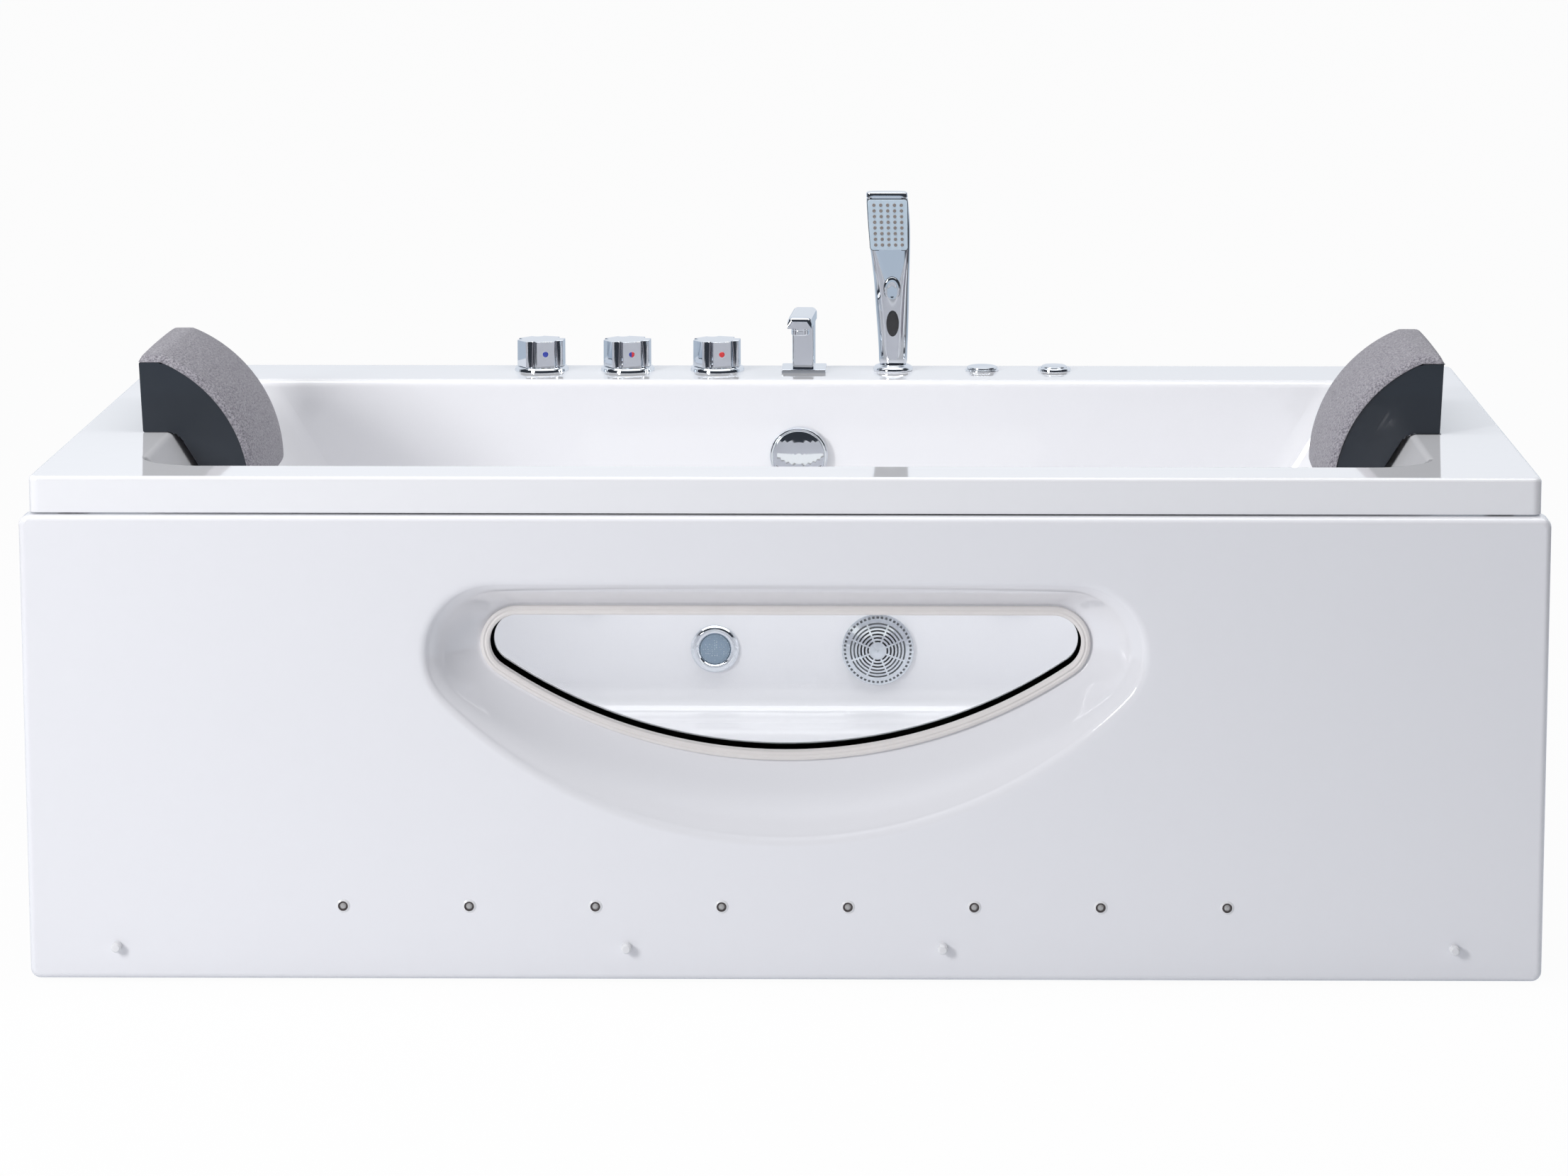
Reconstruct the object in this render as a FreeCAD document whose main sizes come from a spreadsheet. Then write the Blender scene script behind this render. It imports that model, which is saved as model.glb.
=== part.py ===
# Whirlpool bath, 1800 x 900 mm, with one front panel and a window in it.
#
# X runs along the bath, to the right as seen from the front. Y runs to the back. Z is up.
# The origin is on the floor, under the middle of the bath. Everything is in millimetres.

import FreeCAD, Part
import math
import os
import re
import Sketcher

os.makedirs("parts", exist_ok=True)
doc = FreeCAD.newDocument("Bath")
V = FreeCAD.Vector

# ---------------------------------------------------------------- driving dimensions

SIZES = {
    # the whole bath
    "bath_length": 1800, "bath_depth": 900, "rim_height": 610,
    # bath shell: rim, lip and basin
    "rim_end_step": 10.5, "rim_front_step": 12, "lip_height": 43, "shell_wall": 8,
    "rim_front_width": 84, "rim_end_width": 117.5, "deck_width": 137,
    "basin_depth": 460, "end_run": 272, "basin_corner": 60, "floor_corner": 44, "rim_inner_edge": 10,
    "rim_corner": 12, "rim_edge": 5, "hole_gap": 0.5,
    # front panel
    "panel_wall": 5, "panel_return": 34, "panel_foot": 4, "panel_lip_gap": 2, "panel_corner": 12,
    "panel_edge": 8,
    "recess_drop": 129, "recess_rise": 303, "recess_corner": 80, "recess_sweep": 560, "recess_depth": 56,
    # window: trim, glass and gasket, whose outlines are grown or drawn in from one outline
    "window_drop": 162, "window_rise": 188, "window_corner": 45, "window_sweep": 610,
    "trim_face": 11, "trim_leg": 4, "trim_lip": 4, "seal_gap": 0.2, "dish_ease": 2,
    "glass_thick": 8, "glass_lap": 22, "gasket_thick": 6, "gasket_inset": 3, "opening_inset": 1,
    # push plugs at the foot of the panel
    "plug_reach": 12, "plug_radius": 6, "plug_stem": 3, "plug_height": 45,
    "plug_inner_x": 188, "plug_tail": 10,
    # light spots in the panel
    "spot_count": 8, "spot_pitch": 150, "spot_height": 94.6, "cup_radius": 8.2, "cup_barrel": 6.4,
    "cup_wall": 0.5, "holder_radius": 5.8, "spot_lens_radius": 3.9, "spot_length": 14,
    # steel frame: square tube, feet
    "tube_side": 30, "tube_wall": 2, "rail_end": 40, "frame_gap": 10,
    "frame_rear_inset": 26, "post_end": 55, "cross_inner_x": 150,
    "end_rail_height": 300, "tab_thick": 3, "tab_clear": 8, "tab_foot": 30,
    "foot_end": 150, "stud_radius": 6, "stud_foot": 4, "nut_thick": 10,
    "nut_radius": 11, "pad_radius": 22, "pad_thick": 12,
    # deck fittings: places along the bath, and the line they stand on
    "deck_inset": 45, "cold_x": -352, "diverter_x": -235, "hot_x": -113, "spout_x": 5,
    "shower_x": 126, "air_x": 247, "button_x": 345,
    # taps
    "flange_radius": 36.7, "flange_thick": 6, "handle_radius": 33, "handle_height": 36.5,
    "handle_flutes": 5, "flute_radius": 9, "flute_line": 36, "handle_turn": 14, "bearing_gap": 0.05,
    "rest_gap": 0.3, "valve_neck": 12, "neck_rise": 20, "valve_radius": 22, "valve_drop": 90,
    "tail_radius": 10.48, "tail_length": 30, "deck_nut_thick": 8, "deck_nut_lap": 8,
    "mixer_radius": 7, "mixer_set_off": 36, "spout_pipe_drop": 50, "shower_pipe_drop": 25,
    # spout
    "spout_base_side": 60, "spout_base_thick": 5, "column_wide": 29, "column_deep": 36,
    "spout_height": 84, "head_wide": 32.5, "head_thick": 16, "head_reach": 82, "head_round": 6,
    "aerator_radius": 12, "aerator_drop": 10, "aerator_inset": 16, "shank_radius": 10, "shank_drop": 60,
    # hand shower
    "socket_radius": 27, "socket_rise": 9, "socket_barrel": 16, "socket_drop": 60, "peg_radius": 11,
    "peg_length": 55, "shower_height": 245, "grip_wide": 40, "grip_deep": 34, "head_lean": 9,
    "shower_head_wide": 57, "shower_head_deep": 26, "head_forward": 6,
    "face_wide": 50, "face_tall": 71, "face_thick": 2.5, "face_top": 9, "face_cut": 6,
    "nozzle_columns": 5, "nozzle_rows": 8, "nozzle_pitch_x": 9.2, "nozzle_pitch_z": 7.7,
    "nozzle_radius": 2.4, "nozzle_rise": 1.2,
    "inlay_half_wide": 8.5, "inlay_half_tall": 17.7, "inlay_height": 68, "inlay_deep": 3,
    # air control and push button
    "air_base_radius": 23, "air_base_rise": 2.5, "air_knob_radius": 20, "air_knob_rise": 3,
    "air_dish": 1.5, "air_spindle": 6, "air_barrel": 12, "air_drop": 65, "air_pipe_radius": 8,
    "button_radius": 22.7, "button_rise": 4.5, "cap_radius": 17, "cap_rise": 8.5, "button_barrel": 19,
    "button_drop": 30, "button_floor": 12,
    # overflow and waste
    "overflow_drop": 101, "overflow_radius": 39, "overflow_reach": 18, "overflow_wall": 3,
    "overflow_slot": 8, "overflow_shaft": 5, "overflow_barrel": 23, "overflow_flange": 32,
    "drain_pipe_radius": 20, "drain_pipe_wall": 2, "drain_line": 59,
    "waste_y": 60, "waste_flange": 35, "waste_barrel": 25, "waste_rise": 2.5,
    "outlet_length": 30, "plug_disc": 27, "plug_disc_thick": 3, "plug_stem_radius": 4,
    "plug_stem_length": 45, "plug_bar": 8,
    # wall fittings
    "jet_flange": 37, "jet_flange_thick": 6,
    "jet_barrel": 26, "jet_wall": 3, "jet_length": 45, "jet_nozzle_reach": 9, "jet_nozzle_length": 24,
    "jet_outlet": 8, "jet_outlet_side": 7, "port_radius": 13, "port_rise": 28, "air_port_radius": 9,
    "suction_x": 106, "suction_radius": 48.5, "suction_dome": 14,
    "suction_skin": 3, "suction_barrel": 30, "suction_line": 43, "suction_pipe_radius": 25,
    "suction_pipe_wall": 3, "grille_rings": 6, "grille_first": 12, "grille_pitch": 4.7,
    "grille_slot": 2.2, "grille_spoke": 2.5, "rim_holes": 48, "rim_hole_line": 44.5,
    "rim_hole_tall": 3, "rim_hole_wide": 3.2,
    "light_x": -114, "light_radius": 33, "light_rise": 8, "light_lens": 20.5, "light_barrel": 20,
    "light_length": 31,
    # pump
    "pump_rail_half": 70, "casing_radius": 85, "casing_wall": 7, "casing_length": 70,
    "casing_y": 45, "motor_radius": 68, "motor_wall": 5, "motor_length": 230, "shaft_radius": 8,
    "rotor_radius": 34, "impeller_radius": 70, "impeller_thick": 20, "fan_radius": 54, "fan_thick": 12,
    "inlet_radius": 30, "inlet_length": 32, "discharge_radius": 24,
    "stand_wide": 170, "stand_plate": 5, "cradle_wide": 100, "cradle_long": 25, "cradle_inset": 35,
    "union_lap": 6, "union_long": 20,
    # pipes along the back of the basin
    "water_pipe_radius": 16, "water_pipe_wall": 2, "water_line": 22,
    "air_line": 25, "air_header_step": 1.5,
    # control box
    "box_long": 180, "box_wide": 60, "box_tall": 120, "gland_radius": 8, "gland_long": 14,
    "gland_bore": 3.5,
    # pillows
    "pillow_length": 256, "pillow_rise": 88, "pillow_top_wide": 27,
    "pillow_lift": 0.3, "pillow_drop": 80, "pillow_back": 36, "pillow_bend": 176,
    "pad_thick_edge": 8, "pad_crown": 9, "pad_draw_in": 4, "pillow_clear": 10,
}

# Places that follow from the sizes above. A place is worked out once, here.
PLACES = {
    "half_length": "bath_length / 2",
    "rim_half": "half_length - rim_end_step",
    "panel_face": "-(bath_depth - plug_reach) / 2",
    "rim_front": "panel_face + rim_front_step",
    "rim_rear": "panel_face + bath_depth",
    "lip_foot": "rim_height - lip_height",
    "rim_under": "rim_height - shell_wall",
    "open_half": "rim_half - rim_end_width",
    "open_front": "rim_front + rim_front_width",
    "open_rear": "rim_rear - deck_width",
    "basin_floor": "rim_height - basin_depth",
    "floor_half": "open_half - end_run",
    "end_slope": "end_run / basin_depth",
    "end_wall_wide": "shell_wall * sqrt(1 + end_slope ^ 2)",
    "wall_front": "open_front - shell_wall",
    "wall_rear": "open_rear + shell_wall",
    "floor_under": "basin_floor - shell_wall",
    "panel_top": "lip_foot - panel_lip_gap",
    "throat_y": "panel_face + recess_depth",
    "recess_top": "rim_height - recess_drop",
    "recess_foot": "recess_top - recess_rise",
    "window_top": "rim_height - window_drop",
    "window_foot": "window_top - window_rise",
    "gasket_y": "wall_front - gasket_thick",
    "glass_y": "gasket_y - glass_thick",
    "frame_front": "panel_face + panel_return + frame_gap",
    "frame_rear": "rim_rear - frame_rear_inset",
    "rail_height": "floor_under - 2 * tube_side",
    "rail_top": "rail_height + tube_side",
    "stud_top": "rail_top + 18",
    "rail_half": "half_length - rail_end",
    "post_x": "half_length - post_end",
    "post_mid_x": "half_length - 400",
    "cross_outer_x": "floor_half - 100",
    "plug_outer_x": "half_length - 105",
    "foot_x": "half_length - foot_end",
    "foot_front_y": "frame_front + tube_side / 2",
    "foot_rear_y": "frame_rear - tube_side / 2",
    "deck_y": "rim_rear - deck_inset",
    "flange_top": "rim_height + flange_thick",
    "handle_foot": "flange_top + rest_gap",
    "handle_top": "handle_foot + handle_height",
    "valve_top": "rim_under - deck_nut_thick",
    "valve_foot": "rim_height - valve_drop",
    "mixer_y": "deck_y - mixer_set_off",
    "spout_pipe_z": "rim_height - spout_pipe_drop",
    "shower_pipe_z": "rim_height - shower_pipe_drop",
    "spout_top": "rim_height + spout_height",
    "spout_floor": "rim_height + spout_base_thick",
    "head_foot": "spout_top - head_thick",
    "spout_nose": "deck_y - head_reach",
    "shower_foot": "rim_height + socket_rise + rest_gap",
    "shower_top": "rim_height + shower_height",
    "face_y": "deck_y - head_forward - shower_head_deep / 2 + face_cut",
    "face_high": "shower_top - face_top",
    "overflow_z": "rim_height - overflow_drop",
    "drain_y": "wall_rear + drain_line",
    "waste_foot": "floor_under - 102",
    "drain_run_height": "waste_foot + 60",
    "jet_outer_x": "floor_half - 10",
    "jet_inner_x": "jet_outer_x * 57 / 98",
    "fitting_z": "basin_floor + 93",
    "jet_z": "fitting_z + 89",
    "suction_y": "wall_rear + suction_line",
    "water_y": "wall_rear + water_line",
    "water_z": "jet_z + 53",
    "air_y": "wall_rear + air_line",
    "water_end": "jet_outer_x + 30",
    "air_z": "jet_z - 44",
    "air_header_end": "jet_outer_x + 20",
    "pump_x": "half_length - 170",
    "pump_z": "fitting_z",
    "casing_end": "casing_y + casing_length",
    "inlet_end": "casing_end + inlet_length",
    "motor_y": "casing_y - motor_length",
    "discharge_y": "casing_y + casing_length / 2",
    "discharge_rise": "casing_radius + 17",
    "discharge_end": "pump_z + discharge_rise",
    "stand_foot": "rail_top + tube_side",
    "pillow_y": "(rim_front + rim_rear) / 2",
    "pillow_outer_x": "open_half + 38",
    "pillow_reach": "open_half - 96",
}

sheet = doc.addObject("Spreadsheet::Sheet", "Sizes")
for row, (word, number) in enumerate(SIZES.items(), 1):
    sheet.set(f"A{row}", word.replace("_", " "))
    sheet.set(f"B{row}", str(number))
    sheet.setAlias(f"B{row}", word)


def named(text, own=False):
    """A formula with the sheet's name put before each word that a sheet holds."""
    def owner(match):
        word = match.group(0)
        if word in SIZES:
            return "Sizes." + word
        return "Places." + word if word in PLACES and not own else word
    return re.sub(r"[a-z][a-z_]*", owner, text)


places = doc.addObject("Spreadsheet::Sheet", "Places")
for row, (word, formula) in enumerate(PLACES.items(), 1):
    places.set(f"A{row}", word.replace("_", " "))
    places.setAlias(f"B{row}", word)
    places.set(f"B{row}", "=" + named(formula, own=True))
doc.recompute()


def mm(word):
    """The number behind one word, for the few shapes that are worked out in code."""
    return float((sheet if word in SIZES else places).get(word))


# ---------------------------------------------------------------- ways to make a piece

FACING = {
    "x": FreeCAD.Rotation(V(0, 1, 0), 90), "y": FreeCAD.Rotation(V(1, 0, 0), -90),
    "z": FreeCAD.Rotation(), "-y": FreeCAD.Rotation(V(1, 0, 0), 90),
    "-x": FreeCAD.Rotation(V(0, 1, 0), -90), "-z": FreeCAD.Rotation(V(1, 0, 0), 180),
}
NODES = []


def bind(thing, path, formula):
    thing.setExpression(path, named(str(formula)))


def place(thing, at, facing="z"):
    thing.Placement = FreeCAD.Placement(V(), FACING[facing])
    for axis, formula in zip("xyz", at):
        bind(thing, f"Placement.Base.{axis}", formula)
    return thing


def node(thing):
    """Mark a finished sub-part: its label names its file."""
    thing.Label = thing.Name
    NODES.append(thing)
    return thing


def block(name, x, y, z):
    """A box from a low to a high formula along each axis."""
    piece = doc.addObject("Part::Box", name)
    for size, (low, high) in zip(("Length", "Width", "Height"), (x, y, z)):
        bind(piece, size, f"({high}) - ({low})")
    return place(piece, (x[0], y[0], z[0]))


def rod(name, at, facing, radius, length):
    piece = doc.addObject("Part::Cylinder", name)
    bind(piece, "Radius", radius)
    bind(piece, "Height", length)
    return place(piece, at, facing)


def fuse(name, *pieces):
    piece = doc.addObject("Part::MultiFuse", name)
    piece.Shapes = list(pieces)
    return piece


def group(name, pieces):
    piece = doc.addObject("Part::Compound", name)
    piece.Links = list(pieces)
    return piece


def cut(name, base, *tools):
    piece = doc.addObject("Part::Cut", name)
    piece.Base = base
    piece.Tool = tools[0] if len(tools) == 1 else fuse(name + "_tools", *tools)
    return piece


def common(name, first, second):
    piece = doc.addObject("Part::MultiCommon", name)
    piece.Shapes = [first, second]
    return piece


def rounded(name, base, radius, chosen):
    """Round the edges of a piece for which chosen(edge) is true."""
    doc.recompute()
    size = mm(radius)
    piece = doc.addObject("Part::Fillet", name)
    piece.Base = base
    piece.Edges = [(i, size, size) for i, edge in enumerate(base.Shape.Edges, 1) if chosen(edge)]
    return piece


def sketch(name, home, corners):
    """A closed outline of straight lines; each corner is a pair of formulas."""
    if hasattr(home, "newObject"):
        drawing = home.newObject("Sketcher::SketchObject", name)
        plane = next(f for f in home.Origin.OriginFeatures if f.Role == "XZ_Plane")
        drawing.AttachmentSupport = [(plane, "")]
        drawing.MapMode = "FlatFace"
    count = len(corners)
    guess = [V(20 * math.cos(2 * math.pi * i / count), 20 * math.sin(2 * math.pi * i / count), 0)
             for i in range(count)]
    for i in range(count):
        drawing.addGeometry(Part.LineSegment(guess[i], guess[(i + 1) % count]), False)
    for i in range(count):
        drawing.addConstraint(Sketcher.Constraint("Coincident", i, 2, (i + 1) % count, 1))
    for i, pair in enumerate(corners):
        for kind, axis, formula in zip(("DistanceX", "DistanceY"), "xy", pair):
            datum = drawing.addConstraint(Sketcher.Constraint(kind, -1, 1, i, 1, guess[i][axis == "y"]))
            drawing.renameConstraint(datum, f"{axis}_corner_{'abcdefghijklmnopqrstuv'[i]}")
            bind(drawing, f"Constraints.{axis}_corner_{'abcdefghijklmnopqrstuv'[i]}", formula)
    return drawing


def turned(name, at, facing, outline):
    """A piece turned about its own axis; the outline is (radius, distance along the axis)."""
    body = doc.addObject("PartDesign::Body", name)
    drawing = sketch(name + "_outline", body, outline)
    doc.recompute()
    turn = body.newObject("PartDesign::Revolution", name + "_turn")
    turn.Profile = drawing
    turn.ReferenceAxis = (drawing, ["V_Axis"])
    turn.Angle = 360
    return place(body, at, facing)


def tube(name, at, facing, radius, bore, length):
    return turned(name, at, facing, [(bore, "0"), (radius, "0"), (radius, length), (bore, length)])


def nut(name, at, facing, radius, bore, thick):
    """A hexagon nut: radius is to its corners."""
    stock = doc.addObject("Part::Prism", name + "_stock")
    stock.Polygon = 6
    bind(stock, "Circumradius", radius)
    bind(stock, "Height", thick)
    place(stock, at, facing)
    return cut(name, stock, rod(name + "_bore", at, facing, bore, thick))


def smile(name, shape, grow, y):
    """The window's kind of outline, upright: a level top, round corners and one long arc below."""
    top, foot = mm(shape + "_top"), mm(shape + "_foot")
    corner, sweep = mm(shape + "_corner"), mm(shape + "_sweep")
    hub = V(0, foot + sweep, 0)
    corner_hub = V(0, top - corner, 0)
    corner_hub.x = math.sqrt((sweep - corner) ** 2 - (hub.y - corner_hub.y) ** 2)
    low = math.atan2(corner_hub.y - hub.y, corner_hub.x)
    mirror_hub = V(-corner_hub.x, corner_hub.y, 0)
    up = math.pi / 2
    drawing = doc.addObject("Sketcher::SketchObject", name)
    arcs = [(corner_hub, corner, low, up), (hub, sweep, -math.pi - low, low),
            (mirror_hub, corner, up, math.pi - low)]
    drawing.addGeometry(Part.LineSegment(V(mirror_hub.x, top, 0), V(corner_hub.x, top, 0)), False)
    for centre, radius, start, finish in arcs:
        drawing.addGeometry(Part.ArcOfCircle(Part.Circle(centre, V(0, 0, 1), radius), start, finish), False)
    line, right, below, left = range(4)
    for joint in ((line, 2, right, 2), (right, 1, below, 2), (below, 1, left, 2), (left, 1, line, 1)):
        drawing.addConstraint(Sketcher.Constraint("Tangent", *joint))
    drawing.addConstraint(Sketcher.Constraint("Horizontal", line))
    drawing.addConstraint(Sketcher.Constraint("PointOnObject", below, 3, -2))
    drawing.addConstraint(Sketcher.Constraint("Equal", right, left))
    for word, constraint, formula in (
            ("corner", Sketcher.Constraint("Radius", right, corner), f"{shape}_corner + {grow}"),
            ("sweep", Sketcher.Constraint("Radius", below, sweep), f"{shape}_sweep + {grow}"),
            ("hub", Sketcher.Constraint("DistanceY", -1, 1, below, 3, hub.y), f"{shape}_foot + {shape}_sweep"),
            ("top", Sketcher.Constraint("DistanceY", -1, 1, line, 1, top), f"{shape}_top + {grow}")):
        drawing.renameConstraint(drawing.addConstraint(constraint), word)
        bind(drawing, f"Constraints.{word}", formula)
    return place(drawing, ("0", y, "0"), "-y")


def plate(name, outline, thick):
    """An upright outline given a thickness towards the back."""
    piece = doc.addObject("Part::Extrusion", name)
    piece.Base = outline
    piece.DirMode = "Custom"
    piece.Dir = V(0, 1, 0)
    piece.Solid = True
    bind(piece, "LengthFwd", thick)
    return piece


def loft(name, sections):
    piece = doc.addObject("Part::Loft", name)
    piece.Sections = sections
    piece.Solid = True
    piece.Ruled = True
    return piece


def bent_path(points, bend):
    """Straight runs joined by tangent arcs of one radius."""
    edges, at = [], points[0]
    for before, corner, after in zip(points, points[1:], points[2:]):
        inward, outward = (corner - before).normalize(), (after - corner).normalize()
        half_turn = inward.getAngle(outward) / 2
        reach = bend * math.tan(half_turn)
        start, finish = corner - inward * reach, corner + outward * reach
        side = (outward - inward).normalize()
        middle = corner + side * (bend / math.cos(half_turn) - bend)
        edges += [Part.LineSegment(at, start).toShape(), Part.Arc(start, middle, finish).toShape()]
        at = finish
    edges.append(Part.LineSegment(at, points[-1]).toShape())
    return Part.Wire(edges)


def run(points, radius, bend):
    """A round solid along a bent path."""
    path = bent_path(points, bend)
    ring = Part.Wire(Part.Circle(points[0], points[1] - points[0], radius).toShape())
    return path.makePipeShell([ring], True, False)


def shaped(name, shape):
    piece = doc.addObject("Part::Feature", name)
    piece.Shape = shape
    return piece


def level(z):
    """A test for edges that lie wholly at one height."""
    return lambda edge: all(abs(v.Z - mm(z)) < 0.01 for v in edge.Vertexes)


# ---------------------------------------------------------------- bath shell
# One vacuum-formed sheet: a flat rim with a turned-down lip, and the basin with leaning ends.

def basin(name, side, end, rise):
    """The basin's block, grown by side on the long walls and the floor and by end on the ends."""
    body = doc.addObject("PartDesign::Body", name)
    foot = f"basin_floor - {side}"
    foot_half = f"floor_half - end_slope * {side} + {end}"
    top_half = f"open_half + end_slope * {rise} + {end}"
    drawing = sketch(name + "_profile", body, [
        (f"-({foot_half})", foot), (foot_half, foot),
        (top_half, f"rim_height + {rise}"), (f"-({top_half})", f"rim_height + {rise}")])
    doc.recompute()
    pad = body.newObject("PartDesign::Pad", name + "_pad")
    pad.Profile = drawing
    pad.Reversed = True
    bind(pad, "Length", f"open_rear - open_front + 2 * {side}")
    doc.recompute()
    uprights = [f"Edge{i}" for i, e in enumerate(pad.Shape.Edges, 1)
                if abs(e.Vertexes[0].Z - e.Vertexes[1].Z) > 1]
    corners = body.newObject("PartDesign::Fillet", name + "_corners")
    corners.Base = (pad, uprights)
    bind(corners, "Radius", f"basin_corner + {side}")
    doc.recompute()
    low = min(v.Z for v in corners.Shape.Vertexes)
    around = [f"Edge{i}" for i, e in enumerate(corners.Shape.Edges, 1)
              if all(abs(v.Z - low) < 0.01 for v in e.Vertexes)]
    foot_edge = body.newObject("PartDesign::Fillet", name + "_foot")
    foot_edge.Base = (corners, around)
    bind(foot_edge, "Radius", f"floor_corner + {side}")
    return place(body, ("0", f"open_front - {side}", "0"))


slab = block("rim_slab", ("-rim_half", "rim_half"), ("rim_front", "rim_rear"), ("lip_foot", "rim_height"))
slab = rounded("rim_slab_corners", slab, "rim_corner",
               lambda e: abs(e.Vertexes[0].Z - e.Vertexes[1].Z) > 1)
slab = rounded("rim_slab_edge", slab, "rim_edge", level("rim_height"))
hollow = block("rim_hollow", ("-rim_half + shell_wall", "rim_half - shell_wall"),
               ("rim_front + shell_wall", "rim_rear - shell_wall"), ("lip_foot", "rim_under"))
outside = fuse("shell_outside", cut("rim_tray", slab, hollow), basin("basin_outside", "shell_wall", "end_wall_wide", "0"))

THROUGH = "2 * shell_wall + 10"
deck_holes = [
    rod(f"{word}_deck_hole", (f"{word}_x", "deck_y", "rim_under - 5"), "z", f"{radius} + hole_gap", THROUGH)
    for word, radius in (("cold", "valve_neck"), ("diverter", "valve_neck"), ("hot", "valve_neck"),
                         ("spout", "shank_radius"), ("shower", "socket_barrel"), ("air", "air_barrel"),
                         ("button", "button_barrel"))]
JETS = {"one": "-jet_outer_x", "two": "-jet_inner_x", "three": "jet_inner_x", "four": "jet_outer_x"}
wall_holes = [
    rod(f"{word}_wall_hole", (x, "open_rear - 5", z), "y", f"{radius} + hole_gap", THROUGH)
    for word, x, z, radius in [("overflow", "0", "overflow_z", "overflow_barrel"),
                               ("suction", "suction_x", "fitting_z", "suction_barrel"),
                               ("light", "light_x", "fitting_z", "light_barrel")]
    + [(f"jet_{word}", x, "jet_z", "jet_barrel") for word, x in JETS.items()]]
floor_hole = rod("waste_hole", ("0", "waste_y", "floor_under - 5"), "z", "waste_barrel + hole_gap", THROUGH)
OPENING = "(-trim_face - gasket_inset + opening_inset)"
window_hole = plate("window_hole", smile("window_hole_outline", "window", OPENING, "wall_front - 5"), THROUGH)
basin_inside = basin("basin_inside", "0", "0", "20")
drawn = rounded("rim_inner_round", cut("shell_drawn", outside, basin_inside), "rim_inner_edge",
                lambda e: all(abs(v.Z - mm("rim_height")) < 0.01 and abs(v.X) < mm("open_half") + 1
                              and mm("open_front") - 1 < v.Y < mm("open_rear") + 1 for v in e.Vertexes))
bath_shell = node(cut("bath_shell", drawn, window_hole, floor_hole, *deck_holes, *wall_holes))

# ---------------------------------------------------------------- front panel
# A formed sheet with returned edges, and a dish that narrows to the hole for the window.

face = block("panel_block", ("-half_length", "half_length"), ("panel_face", "panel_face + panel_return"),
             ("panel_foot", "panel_top"))
face = rounded("panel_corners", face, "panel_corner",
               lambda e: abs(e.Vertexes[0].Y - e.Vertexes[1].Y) > 1)
face = rounded("panel_front_edge", face, "panel_edge",
               lambda e: all(abs(v.Y - mm("panel_face")) < 0.01 for v in e.Vertexes))
back = block("panel_back", ("-half_length + panel_wall", "half_length - panel_wall"),
             ("panel_face + panel_wall", "panel_face + panel_return + 5"),
             ("panel_foot + panel_wall", "panel_top - panel_wall"))
dish_outside = loft("dish_outside", [smile("dish_mouth_outside", "recess", "panel_wall", "panel_face"),
                                     smile("dish_throat_outside", "window", "dish_ease + panel_wall",
                                           "throat_y")])
dish_inside = loft("dish_inside", [smile("dish_mouth", "recess", "0", "panel_face"),
                                   smile("dish_throat", "window", "dish_ease", "throat_y")])
lip_ring = plate("throat_lip_plate", smile("throat_lip_outline", "window", "dish_ease + panel_wall",
                                           "throat_y"), "trim_lip")
throat_hole = plate("throat_hole", smile("throat_hole_outline", "window", "-trim_leg", "throat_y - 5"),
                    "trim_lip + 10")
SPOTS = [f"({i} - (spot_count - 1) / 2) * spot_pitch" for i in range(SIZES["spot_count"])]
PLUGS = ["-plug_outer_x", "-plug_inner_x", "plug_inner_x", "plug_outer_x"]
panel_holes = [rod(f"spot_hole_{i}", (x, "panel_face - 5", "spot_height"), "y", "cup_barrel", "20")
               for i, x in enumerate(SPOTS)]
panel_holes += [rod(f"plug_hole_{i}", (x, "panel_face - 5", "plug_height"), "y", "plug_stem + seal_gap", "20")
                for i, x in enumerate(PLUGS)]
skin = fuse("panel_skin", cut("panel_tray", face, back), dish_outside, lip_ring)
front_panel = node(cut("front_panel", skin, dish_inside, throat_hole, *panel_holes))

# ---------------------------------------------------------------- window
# Edge trim pushed over the panel's lip, then a gap, then the pane bedded on its gasket.

trim_front = "throat_y - trim_leg"
trim_depth = "trim_lip + 2 * trim_leg"
trim_stock = plate("trim_stock", smile("trim_outline", "window", "0", trim_front), trim_depth)
trim_inner = plate("trim_inner", smile("trim_inner_outline", "window", "-trim_face", f"{trim_front} - 5"),
                   f"{trim_depth} + 10")
groove = cut("trim_groove",
             plate("groove_stock", smile("groove_outer", "window", "5", "throat_y - seal_gap"),
                   "trim_lip + 2 * seal_gap"),
             plate("groove_core", smile("groove_inner", "window", "-trim_leg - seal_gap", "throat_y - 5"),
                   "trim_lip + 10"))
window_trim = node(cut("window_trim", trim_stock, trim_inner, groove))
window_glass = node(plate("window_glass", smile("glass_outline", "window", "glass_lap", "glass_y"),
                          "glass_thick"))
window_gasket = node(cut(
    "window_gasket",
    plate("gasket_stock", smile("gasket_outline", "window", "glass_lap", "gasket_y"), "gasket_thick"),
    plate("gasket_hole", smile("gasket_inner", "window", "(-trim_face - gasket_inset)", "gasket_y - 5"),
          "gasket_thick + 10")))

# ---------------------------------------------------------------- panel fittings
# White push plugs through the foot of the panel, and a row of light spots in white cups.

panel_plugs = node(group("panel_plugs", [turned(f"plug_{i}", (x, "panel_face", "plug_height"), "-y", [
    ("0", "-panel_wall - plug_tail"), ("plug_stem", "-panel_wall - plug_tail"), ("plug_stem", "0"),
    ("plug_radius", "0"), ("plug_radius", "plug_reach - 2"), ("plug_radius - 2", "plug_reach"),
    ("0", "plug_reach")]) for i, x in enumerate(PLUGS)]))

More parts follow.
